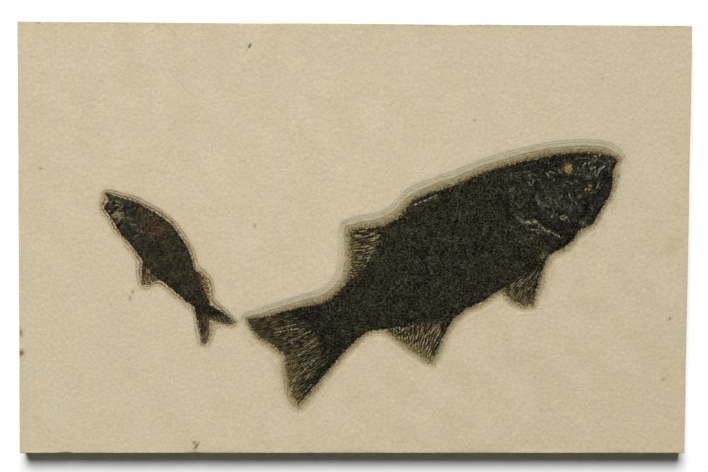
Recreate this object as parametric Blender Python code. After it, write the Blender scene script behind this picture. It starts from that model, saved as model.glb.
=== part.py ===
"""Fossil fish slab, in metres, lying face up on its sawn back.

A plate of laminated limestone carries two fossil fish. Round each fish the rock is worked down in
terraces to the bedding plane that the fish lies on, and the fish sits in a shallow socket there as
a low relief: a domed body with the bones of its head, and fins of raised rays.

The origin is the centre of the back face. +X runs along the slab, +Y to its top edge, +Z up.
Plan sizes below are in millimetres from the origin, and heights in millimetres above the back.
"""

import bmesh
import bpy
import numpy as np
from mathutils import Vector
from mathutils.geometry import delaunay_2d_cdt

MM = 0.001

# --- the slab ------------------------------------------------------------------------------------

THICKNESS = 15.0
CORNERS = [(-202.6, 129.6), (202.6, 127.0), (197.8, -129.6), (-201.2, -129.6)]
EDGE_STEP = 11.0  # spacing of the points along a sawn edge
EDGE_WAVE = 0.25  # how far a sawn edge wanders
ARRIS = 0.5  # worn width of the edge between face and side
# Chips along the face's edges: (x, y, how far round it, how deep)
CHIPS = [
    (-201.2, -129.6, 4.0, 1.3),
    (-173.0, -129.6, 3.0, 0.9),
    (-96.0, -129.6, 3.5, 0.8),
    (-189.0, 129.5, 3.0, 0.9),
    (202.6, 127.0, 3.0, 0.6),
    (-201.9, 49.0, 3.5, 0.8),
    (198.7, -80.0, 5.0, 0.9),
    (61.0, 127.9, 4.0, 0.7),
]

# --- the large fish ------------------------------------------------------------------------------

# The body from snout to tail root, as pairs of points: on the back, and on the belly facing it.
LARGE_BODY = [
    ((158, 45), (158, 45)),
    ((155, 48), (155.2, 41)),
    ((150, 49.3), (155, 34)),
    ((144, 50.4), (153.5, 26.5)),
    ((136, 50.4), (150, 20)),
    ((127, 50.1), (146, 13.5)),
    ((118, 48.8), (142, 7.5)),
    ((110, 47.3), (135, 4)),
    ((101, 45.2), (130.5, -2)),
    ((92, 42.8), (124, -7)),
    ((82, 39.8), (117.5, -10)),
    ((72, 36), (112, -16)),
    ((62, 32), (102, -21)),
    ((53, 28.9), (93, -29)),
    ((44, 25.5), (84.5, -33.4)),
    ((35.5, 21.6), (75, -39.6)),
    ((31, 17), (66.5, -42.8)),
    ((26, 11), (59, -49)),
    ((18, 6.6), (50, -50)),
    ((16, -2.6), (40, -51.5)),
    ((10.2, -12), (29, -53)),
    ((3.8, -20.6), (18.5, -55)),
    ((-5, -28), (8.5, -56.8)),
    ((-12, -35.6), (0.5, -61.8)),
    ((-19, -39.7), (-7, -69)),
]
# A fin is a fan of rays: roots along a line, tips along the trailing edge. "on" and "span" place
# its roots on the back or the belly, counted in the pairs above. "bow" is how far a ray curves, and
# a "skew" above 1 moves the curve towards the tips.
LARGE_FINS = {
    "second_dorsal": {
        "on": "back",
        "span": (18, 22),
        "tips": [(-2.8, 3.8), (-2.2, -7), (-2, -15), (-2.9, -22), (-5, -28)],
        "bow": -0.3,
        "rays": 9,
    },
    "anal": {
        "on": "belly",
        "span": (17, 21),
        "tips": [(46.4, -74.8), (40.5, -71.2), (34, -66.2), (26.5, -61.2), (18.5, -55)],
        "bow": -0.6,
        "rays": 10,
    },
    "pelvic": {
        "on": "belly",
        "span": (10.4, 13.6),
        "tips": [(106.8, -40), (101.6, -40.8), (96.4, -38.8), (91.6, -35), (88, -31.6)],
        "bow": -0.3,
        "rays": 6,
    },
}
# The tail's two lobes share the notch between them.
LARGE_TAIL = {
    "upper": {
        "roots": [(-19, -39.7), (-17, -47), (-13.5, -54.5)],
        "tips": [(-64.8, -48.6), (-62.8, -53.8), (-57.2, -59.8), (-49.6, -64.2), (-41.2, -71)],
        "bow": 2.0,
        "skew": 3,
        "rays": 10,
    },
    "lower": {
        "roots": [(-7, -69), (-10, -62), (-13.5, -54.5)],
        "tips": [(-33.8, -100.2), (-37.8, -92.6), (-40, -84), (-41, -77), (-41.2, -71)],
        "bow": 0.25,
        "rays": 10,
    },
}
# Bones and spines that stand up from the body: points along each, half its width, its height
LARGE_RIDGES = {
    "gill_cover_rear": ([(106, 37), (104.6, 29), (107, 21), (113, 15.2)], 1.7, 0.45),
    "gill_cover_lower": ([(114.5, 14.2), (121, 10.8), (129, 8.6), (136, 9.4)], 1.5, 0.4),
    "cheek_bar": ([(123.5, 37.5), (127, 29), (130.5, 21.5), (134.5, 13)], 1.3, 0.4),
    "upper_jaw": ([(152.5, 43), (146, 38), (141, 30), (138, 20.5)], 1.7, 0.5),
    "lower_jaw": ([(153, 37), (150.5, 28), (146, 19), (141, 11.5)], 2.0, 0.5),
    "brow": ([(148, 46), (140, 46.8), (131, 46.8), (122, 45)], 1.2, 0.35),
    "eye_ring": ([(133.6, 44.4), (134.8, 40.6), (131.5, 37.2), (126.6, 37.4)], 0.9, 0.3),
    "shoulder": ([(97, 38), (98, 29), (101, 20), (106, 13)], 1.5, 0.35),
    "breast_fin_1": ([(125, -1.2), (116, 3.2), (106, 7.2), (94, 12.4)], 0.8, 0.4),
    "breast_fin_2": ([(124, -2.6), (114, 1), (104, 4.4), (92, 8)], 0.8, 0.35),
    "back_spine_1": ([(79, 36.6), (68, 32.6), (56, 28.4), (47, 24.6)], 0.7, 0.35),
    "back_spine_2": ([(68, 30.6), (58, 26.6), (48, 22.6), (39, 19.4)], 0.7, 0.35),
    "back_spine_3": ([(56, 24.6), (48, 20.8), (41, 17.6), (35, 16)], 0.7, 0.3),
}

# --- the small fish ------------------------------------------------------------------------------

SMALL_BODY = [
    ((-147.8, 21.6), (-147.8, 21.6)),
    ((-150.9, 18.2), (-149.8, 26.2)),
    ((-149.2, 15.2), (-145, 25)),
    ((-146.8, 12), (-138.5, 23)),
    ((-144, 7.8), (-132, 21.2)),
    ((-141.6, 3.6), (-126, 18.2)),
    ((-138.6, -0.2), (-120, 14.8)),
    ((-135.4, -3.8), (-114, 10.6)),
    ((-132.4, -7.4), (-109, 6)),
    ((-129.6, -11.2), (-104.6, -0.2)),
    ((-127, -14.8), (-101, -5.6)),
    ((-124, -18.6), (-98.4, -11)),
    ((-120.6, -22.6), (-97, -17.4)),
    ((-116.4, -26), (-95, -22.4)),
    ((-111.6, -29.8), (-92.6, -27)),
    ((-106.4, -34.2), (-90.6, -32.4)),
    ((-101.4, -38.4), (-88.4, -36.8)),
    ((-96.6, -42), (-87, -40.4)),
]
SMALL_FINS = {
    "dorsal": {
        "on": "back",
        "span": (9.8, 13),
        "tips": [(-127.8, -28.4), (-125.6, -29.2), (-122.2, -28.2), (-119.4, -26.4), (-116.4, -26)],
        "bow": -0.6,
        "rays": 6,
    },
    "anal": {
        "on": "belly",
        "span": (12.4, 16.4),
        "tips": [(-88.6, -25.6), (-87.6, -29), (-87.2, -33), (-87.4, -36), (-87.9, -38)],
        "bow": 0.4,
        "rays": 5,
    },
}
SMALL_TAIL = {
    "upper": {
        "roots": [(-96.6, -42), (-94, -42.4), (-91.4, -42.4)],
        "tips": [(-91.9, -63.8), (-89.4, -63.8), (-87.8, -60), (-87.3, -55), (-87.5, -49.8)],
        "bow": 1.3,
        "rays": 5,
    },
    "lower": {
        "roots": [(-87, -40.4), (-89, -42), (-91.4, -42.4)],
        "tips": [(-71.9, -51), (-73.2, -52.7), (-78, -52.3), (-82.8, -51), (-87.5, -49.8)],
        "bow": 0.5,
        "rays": 5,
    },
}
SMALL_RIDGES = {
    "gill_cover": ([(-138, 9), (-132.6, 12), (-130.6, 16), (-132.4, 20)], 0.9, 0.25),
    "cheek_bar": ([(-141, 11.4), (-138, 14.6), (-137.4, 18), (-140, 21.6)], 0.8, 0.25),
    "eye_ring": ([(-146.2, 16), (-142.6, 17.6), (-139.8, 15.6), (-140.4, 12)], 0.7, 0.2),
    "lower_jaw": ([(-148.4, 24.6), (-144.6, 22.4), (-141.4, 19.6)], 0.7, 0.25),
}

# --- how deep each fish lies ---------------------------------------------------------------------

# The halo is the ring of rock worked down round a fish. Its width is given on the back and on the
# belly, and it is pinched where the two fish's tails come close: (x, y, reach, share of width left).
LARGE_FISH = {
    "body": LARGE_BODY,
    "fins": LARGE_FINS,
    "tail": LARGE_TAIL,
    "ridges": LARGE_RIDGES,
    "halo_width": (8.8, 5.9),
    "halo_pinch": [(-66.0, -50.0, 8.0, 0.45), (-33.8, -100.4, 9.0, 1.3)],
    "halo_depth": 1.4,
    "edge_lift": 0.35,
    "body_rise": 1.1,
    "body_crown": 0.45,
    "shoulder_width": 4.5,
    "ray_height": 0.32,
    "under_edge": 1.1,
    "body_step": 5.0,
    "outline_step": 2.5,
}
SMALL_FISH = {
    "body": SMALL_BODY,
    "fins": SMALL_FINS,
    "tail": SMALL_TAIL,
    "ridges": SMALL_RIDGES,
    "halo_width": (3.5, 3.8),
    "halo_pinch": [(-72.0, -51.0, 6.0, 0.6)],
    "halo_depth": 0.8,
    "edge_lift": 0.25,
    "body_rise": 0.55,
    "body_crown": 0.3,
    "shoulder_width": 2.4,
    "ray_height": 0.22,
    "under_edge": 0.8,
    "body_step": 4.0,
    "outline_step": 2.0,
}
SOCKET_GAP = 0.3  # clearance between a fish and the rock below and beside it
SOCKET_DRAFT = 0.25  # how far the socket's wall leans out
# The halo's terraces, from the fish outwards: share of the halo's width, share of its depth left
TERRACES = [(0.0, 1.0), (0.32, 0.9), (0.46, 0.55), (0.8, 0.42), (1.0, 0.0)]
HALO_ROUNDS = 60  # passes of smoothing that settle the halo's rim round the fin tips
HALO_ROUNDING = 3  # passes that then round its hollow corners
RAY_STEPS = 4  # points along a fin ray


def smooth_line(points, count):
    """A Catmull-Rom curve through the points, sampled evenly in its own parameter."""
    p = np.asarray(points, float)
    p = np.vstack([2 * p[0] - p[1], p, 2 * p[-1] - p[-2]])
    u = np.linspace(0, len(points) - 1, count)
    return at_station(p, u)


def at_station(padded, u):
    """Points at parameters u of a Catmull-Rom curve whose end points are already padded."""
    u = np.clip(np.asarray(u, float), 0, len(padded) - 3)
    k = np.minimum(u.astype(int), len(padded) - 4)
    f = (u - k)[:, None]
    a, b, c, d = (padded[k + i] for i in range(4))
    return 0.5 * (2 * b + (c - a) * f + (2 * a - 5 * b + 4 * c - d) * f**2 + (3 * b - 3 * c + d - a) * f**3)


def body_side(fish, side, stations):
    """Points on the back or the belly at these stations, counted in the fish's pairs."""
    column = 0 if side == "back" else 1
    p = np.array([pair[column] for pair in fish["body"]], float)
    p = np.vstack([2 * p[0] - p[1], p, 2 * p[-1] - p[-2]])
    return at_station(p, stations)


def spaced(line, step):
    """An open run of points spaced evenly at about this step, with its ends kept."""
    along = np.concatenate([[0], np.cumsum(np.linalg.norm(np.diff(line, axis=0), axis=1))])
    where = np.linspace(0, along[-1], max(2, round(along[-1] / step) + 1))
    return np.stack([np.interp(where, along, line[:, i]) for i in range(2)], axis=1)


def fan(fish, fin):
    """A fin's points as an array [line across, step along]: lines alternate ray, web, ray."""
    lines = 2 * fin["rays"] + 1
    if "roots" in fin:
        roots = smooth_line(fin["roots"], lines)
    else:
        roots = body_side(fish, fin["on"], np.linspace(*fin["span"], lines))
    tips = smooth_line(fin["tips"], lines)
    along = np.linspace(0, 1, RAY_STEPS + 1)[None, :, None]
    reach = tips - roots
    length = np.maximum(np.linalg.norm(reach, axis=1, keepdims=True), 1e-6)
    across = np.stack([-reach[:, 1], reach[:, 0]], axis=1) / length
    spread = roots[-1] - roots[0]
    turn = -1 if reach[0, 0] * spread[1] - reach[0, 1] * spread[0] > 0 else 1
    bow = fin["bow"] * turn * length / length.max()
    skew = fin.get("skew", 1)
    curve = along**skew * (1 - along)
    curve /= (skew / (skew + 1)) ** skew / (skew + 1)  # so that it peaks at 1
    return roots[:, None] + along * reach[:, None] + curve * (bow * across)[:, None]


def outline(fish):
    """The fish's outline in plan, as one closed run of points from the snout round by the back."""
    last = len(fish["body"]) - 1
    fine = 300
    upper, lower = fan(fish, fish["tail"]["upper"]), fan(fish, fish["tail"]["lower"])
    on_back = sorted((f for f in fish["fins"].values() if f["on"] == "back"), key=lambda f: f["span"][0])
    on_belly = sorted((f for f in fish["fins"].values() if f["on"] == "belly"), key=lambda f: -f["span"][0])
    runs = []
    station = 0
    for fin in on_back:
        spread = fan(fish, fin)
        runs += [body_side(fish, "back", np.linspace(station, fin["span"][0], fine))]
        runs += [spread[0], spread[:, -1]]
        station = fin["span"][1]
    runs += [body_side(fish, "back", np.linspace(station, last, fine)), upper[0], upper[:, -1]]
    runs += [lower[::-1, -1], lower[0, ::-1]]
    station = last
    for fin in on_belly:
        spread = fan(fish, fin)
        runs += [body_side(fish, "belly", np.linspace(station, fin["span"][1], fine))]
        runs += [spread[::-1, -1], spread[0, ::-1]]
        station = fin["span"][0]
    runs.append(body_side(fish, "belly", np.linspace(station, 0, fine)))
    return without_repeats(np.vstack([spaced(run, fish["outline_step"]) for run in runs]), 0.4)


def without_repeats(points, gap):
    """A closed run of points with those nearer than gap to the one before left out."""
    kept = [points[0]]
    for p in points[1:]:
        if np.linalg.norm(p - kept[-1]) > gap:
            kept.append(p)
    if np.linalg.norm(kept[0] - kept[-1]) <= gap:
        kept.pop()
    return np.array(kept)


def pushed_out(loop, by):
    """A closed loop with every edge moved out by this much, its corners mitred."""
    x, y = loop.T
    runs_left = np.sum(x * np.roll(y, -1) - np.roll(x, -1) * y) > 0
    along = np.roll(loop, -1, axis=0) - loop
    along /= np.linalg.norm(along, axis=1, keepdims=True)
    after = np.stack([along[:, 1], -along[:, 0]], axis=1) * (1 if runs_left else -1)
    before = np.roll(after, 1, axis=0)
    meet = 1 + np.sum(before * after, axis=1, keepdims=True)
    return loop + by * (before + after) / np.maximum(meet, 0.45)


def foot_points(points, run, closed=True):
    """For each point, the nearest point on a run of points, and the run's index there."""
    starts, ends = (run, np.roll(run, -1, axis=0)) if closed else (run[:-1], run[1:])
    span = ends - starts
    share = np.sum((points[:, None] - starts) * span, axis=2) / np.maximum(np.sum(span**2, axis=1), 1e-12)
    feet = starts + np.clip(share, 0, 1)[..., None] * span
    k = np.linalg.norm(points[:, None] - feet, axis=2).argmin(axis=1)
    return feet[np.arange(len(points)), k], k


def gap_to(points, run, closed=True):
    """Distance from each point to a run of points."""
    return np.linalg.norm(points - foot_points(points, run, closed)[0], axis=1)


def evened(loop):
    """A closed loop with each point moved toward the middle of its neighbours."""
    return 0.25 * np.roll(loop, 1, axis=0) + 0.5 * loop + 0.25 * np.roll(loop, -1, axis=0)


def halo_rim(fish, edge):
    """The outer rim of the rock worked down round a fish: wider along its back than its belly.

    A loop just outside the fish is smoothed and pushed back to its distance from the outline,
    again and again, so that it runs round the fin tips and closes across the hollow corners.
    """
    stations = np.linspace(0, len(fish["body"]) - 1, 120)
    to_back = gap_to(edge, body_side(fish, "back", stations), closed=False)
    to_belly = gap_to(edge, body_side(fish, "belly", stations), closed=False)
    share = (to_belly / np.maximum(to_back + to_belly, 1e-6))[:, None]
    on_back, on_belly = fish["halo_width"]
    width = on_belly + (on_back - on_belly) * share
    for x, y, reach, share_left in fish["halo_pinch"]:
        near = np.exp(-np.sum(((edge - (x, y)) / reach) ** 2, axis=1, keepdims=True))
        width = width * (1 - (1 - share_left) * near)
    for _ in range(8):
        width = evened(width)
    ring = pushed_out(edge, 0.7 * width)
    for _ in range(HALO_ROUNDS):
        ring = evened(ring)
        feet, index = foot_points(ring, edge)
        away = ring - feet
        ring = feet + away / np.linalg.norm(away, axis=1, keepdims=True) * width[index]
    for _ in range(HALO_ROUNDING):
        ring = evened(ring)
    return ring


def halo_rings(fish):
    """The terraces round a fish: (loop, share of the halo's depth) from the socket's lip to the rim."""
    edge = outline(fish)
    lip = pushed_out(edge, SOCKET_GAP + SOCKET_DRAFT)
    rim = halo_rim(fish, edge)
    return [(without_repeats(lip + (rim - lip) * out, 0.5), share) for out, share in TERRACES]


def triangulate(loops, lines, points):
    """Triangles inside the first loop. Takes loops and lines of (x, y, z) and loose points.

    Loops and lines are kept as edges. Where several given points fall together, the first one's
    height counts. Returns an array of (x, y, z) and the triangles.
    """
    rows, edges = [], []
    for run, closes in [(loop, True) for loop in loops] + [(line, False) for line in lines]:
        start = len(rows)
        rows += [tuple(p) for p in run]
        edges += [(start + i, start + i + 1) for i in range(len(run) - 1)]
        if closes:
            edges.append((len(rows) - 1, start))
    rows += [tuple(p) for p in points]
    plan = [Vector((x, y)) for x, y, _ in rows]
    made = delaunay_2d_cdt(plan, edges, [], 1, 1e-3)
    flat, faces, sources = made[0], made[2], made[3]
    known = np.array(rows, float)
    out = []
    for p, ids in zip(flat, sources):
        if ids:
            height = known[min(ids), 2]
        else:
            height = known[np.argmin(np.sum((known[:, :2] - np.array(p)) ** 2, axis=1)), 2]
        out.append((p.x, p.y, height))
    return np.array(out), faces


def add_solid(name, top, faces, border, side_rows, material):
    """One closed solid: a triangulated top, walls down through side_rows, and a flat underside.

    border holds the top's border points in order; each of side_rows is a loop of the same length.
    """
    bm = bmesh.new()
    verts = [bm.verts.new(Vector(p) * MM) for p in top]
    for face in faces:
        bm.faces.new([verts[i] for i in face])
    ring = [verts[np.argmin(np.sum((top[:, :2] - p[:2]) ** 2, axis=1))] for p in border]
    for row in side_rows:
        below = [bm.verts.new(Vector(p) * MM) for p in row]
        for i in range(len(ring)):
            j = (i + 1) % len(ring)
            bm.faces.new([ring[i], ring[j], below[j], below[i]])
        ring = below
    bm.faces.new(ring)
    bmesh.ops.triangulate(bm, faces=[f for f in bm.faces if len(f.verts) > 3])
    bmesh.ops.recalc_face_normals(bm, faces=bm.faces)
    mesh = bpy.data.meshes.new(name)
    bm.to_mesh(mesh)
    bm.free()
    mesh.materials.append(material)
    obj = bpy.data.objects.new(name, mesh)
    bpy.context.scene.collection.objects.link(obj)
    return obj


def material(name, colour, roughness):
    """A plain Principled finish."""
    made = bpy.data.materials.new(name)
    made.use_nodes = True
    shader = made.node_tree.nodes["Principled BSDF"]
    shader.inputs["Base Color"].default_value = (*colour, 1)
    shader.inputs["Roughness"].default_value = roughness
    shader.inputs["Metallic"].default_value = 0.0
    return made


def with_height(plan, height):
    """Plan points given one height, or one each."""
    return np.column_stack([plan, np.broadcast_to(height, len(plan))])


def slab_perimeter():
    """The sawn outline of the slab, wandering a little except along its straight lower edge."""
    runs = []
    for k, start in enumerate(CORNERS):
        start, end = np.array(start), np.array(CORNERS[(k + 1) % len(CORNERS)])
        length = np.linalg.norm(end - start)
        share = np.linspace(0, 1, round(length / EDGE_STEP), endpoint=False)
        inwards = np.array([end[1] - start[1], start[0] - end[0]]) / length
        lower_edge = k == 2
        wave = 0.6 * np.sin(share * length / 31 + 2 * k) + 0.4 * np.sin(share * length / 12.5 + 5 * k)
        bend = 0 if lower_edge else EDGE_WAVE * wave * np.sin(np.pi * share)
        runs.append(start + share[:, None] * (end - start) + np.abs(bend)[..., None] * inwards)
    return np.vstack(runs)


def slab_edge_wear(perimeter):
    """How far the face's edge is worn back at each point of the perimeter."""
    wear = np.full(len(perimeter), ARRIS)
    for x, y, reach, depth in CHIPS:
        gap = np.linalg.norm(perimeter - (x, y), axis=1)
        wear += depth * np.exp(-((gap / reach) ** 2))
    return wear


def make_slab(stone):
    """The limestone plate with a terraced halo and a socket for each fish."""
    perimeter = slab_perimeter()
    wear = slab_edge_wear(perimeter)
    face_ring = pushed_out(perimeter, -wear[:, None])
    loops = [with_height(face_ring, THICKNESS)]
    for fish in (LARGE_FISH, SMALL_FISH):
        for loop, share in halo_rings(fish):
            loops.append(with_height(loop, THICKNESS - fish["halo_depth"] * share))
        floor = pushed_out(outline(fish), SOCKET_GAP)
        depth = fish["halo_depth"] + fish["under_edge"] + SOCKET_GAP - fish["edge_lift"]
        loops.append(with_height(floor, THICKNESS - depth))
    top, faces = triangulate(loops, [], [])
    sides = [
        with_height(perimeter, THICKNESS - wear),
        with_height(perimeter, ARRIS),
        with_height(pushed_out(perimeter, -ARRIS), 0.0),
    ]
    return add_solid("limestone_slab", top, faces, loops[0], sides, stone)


def body_height(fish, points, edge):
    """Height of the body's surface: a steep shoulder inside its edge, then a low crown."""
    last = len(fish["body"]) - 1
    stations = np.linspace(0, last, 4 * last)
    back, belly = body_side(fish, "back", stations), body_side(fish, "belly", stations)
    gap = gap_to(points, np.vstack([back, belly[::-1]]))
    depth = np.linalg.norm(np.subtract(*np.array(fish["body"][last // 2])))
    shoulder = 1 - np.exp(-gap / fish["shoulder_width"])
    crown = np.clip(gap / (depth / 2), 0, 1)
    return edge + fish["body_rise"] * shoulder + fish["body_crown"] * crown


def body_points(fish):
    """Plan points spread over the body, clear of its outline."""
    last = len(fish["body"]) - 1
    back = body_side(fish, "back", np.linspace(0, last, 400))
    length = np.linalg.norm(np.diff(back, axis=0), axis=1).sum()
    stations = np.linspace(0, last, round(length / fish["body_step"]))[1:-1]
    found = []
    for upper, lower in zip(body_side(fish, "back", stations), body_side(fish, "belly", stations)):
        across = np.linalg.norm(upper - lower)
        rows = max(2, round(across / fish["body_step"]))
        share = np.linspace(0, 1, rows + 1)[1:-1, None]
        bunched = 0.5 - 0.5 * np.cos(np.pi * share)
        found.append(upper + (0.6 * share + 0.4 * bunched) * (lower - upper))
    return np.vstack(found)


def ridge_lines(fish, edge):
    """Each bone or spine as a crest line between two foot lines on the body's surface."""
    lines, centres = [], []
    for points, half_width, height in fish["ridges"].values():
        length = np.linalg.norm(np.diff(np.array(points, float), axis=0), axis=1).sum()
        crest = smooth_line(points, max(6, round(length / 3)))
        along = np.gradient(crest, axis=0)
        side = np.stack([-along[:, 1], along[:, 0]], axis=1) / np.linalg.norm(along, axis=1, keepdims=True)
        taper = np.sqrt(np.sin(np.pi * np.linspace(0.08, 0.92, len(crest))))[:, None]
        feet = [crest + side * half_width * taper * sign for sign in (-1, 1)]
        lines += [with_height(foot, body_height(fish, foot, edge)) for foot in feet]
        lines.append(with_height(crest, body_height(fish, crest, edge) + height * taper[:, 0]))
        centres.append((crest, half_width))
    return lines, centres


def fin_lines(fish, fin, edge):
    """A fin's lines as raised rays with the web between them, sinking to the edge at the tips."""
    spread = fan(fish, fin)
    along = np.linspace(0, 1, RAY_STEPS + 1)
    lines = []
    for k in range(1, len(spread) - 1):
        if np.linalg.norm(spread[k, -1] - spread[k, 0]) < 2.0:
            continue
        lift = fish["ray_height"] if k % 2 == 0 else -0.35 * fish["ray_height"]
        height = edge + lift * (1 - along**3)
        lines.append(with_height(spread[k], height)[1:])
    return lines


def make_fish(name, fish, stone):
    """One fish as a low relief: domed body, bones, and fins of rays, on a flat underside."""
    edge = THICKNESS - fish["halo_depth"] + fish["edge_lift"]
    border = outline(fish)
    lines, centres = ridge_lines(fish, edge)
    body = body_points(fish)
    clear = gap_to(body, border) > 0.3 * fish["body_step"]
    for crest, half_width in centres:
        clear &= gap_to(body, crest, closed=False) > half_width + 0.9
    body = body[clear]
    points = with_height(body, body_height(fish, body, edge))
    for fin in [*fish["fins"].values(), *fish["tail"].values()]:
        for line in fin_lines(fish, fin, edge):
            free = gap_to(line[:, :2], border) > 0.6
            if free.sum() > 1:
                lines.append(line[free])
    top, faces = triangulate([with_height(border, edge)], lines, points)
    below = [with_height(border, edge - fish["under_edge"])]
    return add_solid(name, top, faces, with_height(border, edge), below, stone)


def main():
    for obj in list(bpy.data.objects):
        bpy.data.objects.remove(obj)
    limestone = material("limestone", (0.60, 0.50, 0.35), 0.85)
    dark_bone = material("fossil_bone", (0.024, 0.021, 0.013), 0.5)
    brown_bone = material("fossil_bone_brown", (0.034, 0.026, 0.016), 0.5)
    make_slab(limestone)
    make_fish("large_fish", LARGE_FISH, dark_bone)
    make_fish("small_fish", SMALL_FISH, brown_bone)


main()
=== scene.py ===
"""A fossil fish slab: a sawn limestone plate with two fossil fish in its face, lying face up."""

import bmesh
import bpy
import numpy as np
from mathutils.geometry import delaunay_2d_cdt
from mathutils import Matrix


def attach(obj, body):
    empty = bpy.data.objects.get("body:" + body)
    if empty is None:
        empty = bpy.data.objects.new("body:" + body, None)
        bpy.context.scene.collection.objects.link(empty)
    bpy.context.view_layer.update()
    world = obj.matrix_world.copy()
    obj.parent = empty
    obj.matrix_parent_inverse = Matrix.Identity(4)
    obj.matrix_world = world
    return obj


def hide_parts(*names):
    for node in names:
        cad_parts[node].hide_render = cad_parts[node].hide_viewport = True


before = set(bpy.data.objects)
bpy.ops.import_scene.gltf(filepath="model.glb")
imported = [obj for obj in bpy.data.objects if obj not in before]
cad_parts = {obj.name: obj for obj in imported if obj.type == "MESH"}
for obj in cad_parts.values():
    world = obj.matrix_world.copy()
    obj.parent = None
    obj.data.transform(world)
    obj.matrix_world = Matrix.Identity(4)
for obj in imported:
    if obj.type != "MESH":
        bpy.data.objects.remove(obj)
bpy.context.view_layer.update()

# -------------------------------------------------------------------------------------------------
# The slab: one plate of buff, finely laminated lake limestone, sawn on its four sides and left
# nearly flat on its back. Round each fish the face is worked down by hand, in low terraces, to the
# layer that the fish lies on.

# Plan sizes are in millimetres from the centre of the back, and heights from the back. The plans
# of both fish stand here because the terraces follow them.
MM = 0.001
SLAB_THICKNESS = 15.0
SLAB_CORNERS = [(-202.6, 129.6), (202.6, 127.0), (197.8, -129.6), (-201.2, -129.6)]
HALF_LENGTH, HALF_WIDTH = 202, 129  # half the face, for spreading points and tones over it
FACE_DROP = 0.07  # how far the face lies below the full thickness, so that its swells stay inside
SLAB_EDGE_WAVE = 0.25  # how far the sawn sides wander inwards
SLAB_ARRIS = 0.5  # how far the upper edges are worn back
FOOT_PROFILE = [(0.0, 0.5), (0.15, 0.15), (0.5, 0.0)]  # the lower edges: (inset, height)
LAMINA_ROWS, LAMINA_LEDGE = 14, 0.16  # rows of points down the sides, and their deepest ledge
BACK_HOLLOW = 0.25  # how far the back is hollow in places
# Chips along the edges: (x, y, reach, depth)
SLAB_CHIPS = [
    (-201.2, -129.6, 4.0, 0.2),
    (-173.0, -129.6, 3.0, 0.9),
    (-96.0, -129.6, 3.5, 0.8),
    (-189.0, 129.5, 3.0, 0.9),
    (202.6, 127.0, 3.0, 0.6),
    (-201.9, 49.0, 3.5, 0.8),
    (198.7, -80.0, 5.0, 0.9),
    (61.0, 127.9, 4.0, 0.7),
]
FACE_STEP = 2.4  # spacing of the points over the face
SIDE_STEP = 1.2  # round the sawn edges
BACK_STEP = 5.0  # and over the back

# A fish's body as pairs of points, on the back and on the belly, from the mouth to the tail's root
LARGE_BODY = [
    ((158, 45), (158, 45)),
    ((155, 48), (155.2, 41)),
    ((150, 49.3), (155, 34)),
    ((144, 50.4), (153.5, 26.5)),
    ((136, 50.4), (150, 20)),
    ((127, 50.1), (146, 13.5)),
    ((118, 48.8), (142, 7.5)),
    ((110, 47.3), (135, 4)),
    ((101, 45.2), (130.5, -2)),
    ((92, 42.8), (124, -7)),
    ((82, 39.8), (117.5, -10)),
    ((72, 36), (112, -16)),
    ((62, 32), (102, -21)),
    ((53, 28.9), (93, -29)),
    ((44, 25.5), (84.5, -33.4)),
    ((35.5, 21.6), (75, -39.6)),
    ((31, 17), (66.5, -42.8)),
    ((26, 11), (59, -49)),
    ((18, 6.6), (50, -50)),
    ((16, -2.6), (40, -51.5)),
    ((10.2, -12), (29, -53)),
    ((3.8, -20.6), (18.5, -55)),
    ((-5, -28), (8.5, -56.8)),
    ((-12, -35.6), (0.5, -61.8)),
    ((-19, -39.7), (-7, -69)),
]
SMALL_BODY = [
    ((-147.8, 21.6), (-147.8, 21.6)),
    ((-150.9, 18.2), (-149.8, 26.2)),
    ((-149.2, 15.2), (-145, 25)),
    ((-146.8, 12), (-138.5, 23)),
    ((-144, 7.8), (-132, 21.2)),
    ((-141.6, 3.6), (-126, 18.2)),
    ((-138.6, -0.2), (-120, 14.8)),
    ((-135.4, -3.8), (-114, 10.6)),
    ((-132.4, -7.4), (-109, 6)),
    ((-129.6, -11.2), (-104.6, -0.2)),
    ((-127, -14.8), (-101, -5.6)),
    ((-124, -18.6), (-98.4, -11)),
    ((-120.6, -22.6), (-97, -17.4)),
    ((-116.4, -26), (-95, -22.4)),
    ((-111.6, -29.8), (-92.6, -27)),
    ((-106.4, -34.2), (-90.6, -32.4)),
    ((-101.4, -38.4), (-88.4, -36.8)),
    ((-96.6, -42), (-87, -40.4)),
]
# A fin's rays run from its root, on a stretch of the back or belly counted in the pairs above or
# along points of its own, to its trailing edge. bow is how far they curve, and a skew above 1
# moves the curve towards the tips. inner is where the rays start, when that is inside the body.
LARGE_FINS = {
    "second_dorsal": {
        "side": 0,
        "span": (18, 22),
        "tips": [(-2.8, 3.8), (-2.2, -7), (-2, -15), (-2.9, -22), (-5, -28)],
        "bow": -0.3,
    },
    "anal": {
        "side": 1,
        "span": (17, 21),
        "tips": [(46.4, -74.8), (40.5, -71.2), (34, -66.2), (26.5, -61.2), (18.5, -55)],
        "bow": -0.6,
    },
    "pelvic": {
        "side": 1,
        "span": (10.4, 13.6),
        "inner": [(115.4, -12.5), (113, -14.5), (110.5, -16), (108, -17), (105, -18.5)],
        "tips": [(106.8, -40), (101.6, -40.8), (96.4, -38.8), (91.6, -35), (88, -31.6)],
        "bow": -0.3,
    },
    "tail_upper": {
        "root": [(-19, -39.7), (-17, -47), (-13.5, -54.5)],
        "tips": [(-64.8, -48.6), (-62.8, -53.8), (-57.2, -59.8), (-49.6, -64.2), (-41.2, -71)],
        "bow": 2.0,
        "skew": 3,
    },
    "tail_lower": {
        "root": [(-7, -69), (-10, -62), (-13.5, -54.5)],
        "tips": [(-33.8, -100.2), (-37.8, -92.6), (-40, -84), (-41, -77), (-41.2, -71)],
        "bow": 0.25,
    },
}
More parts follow.
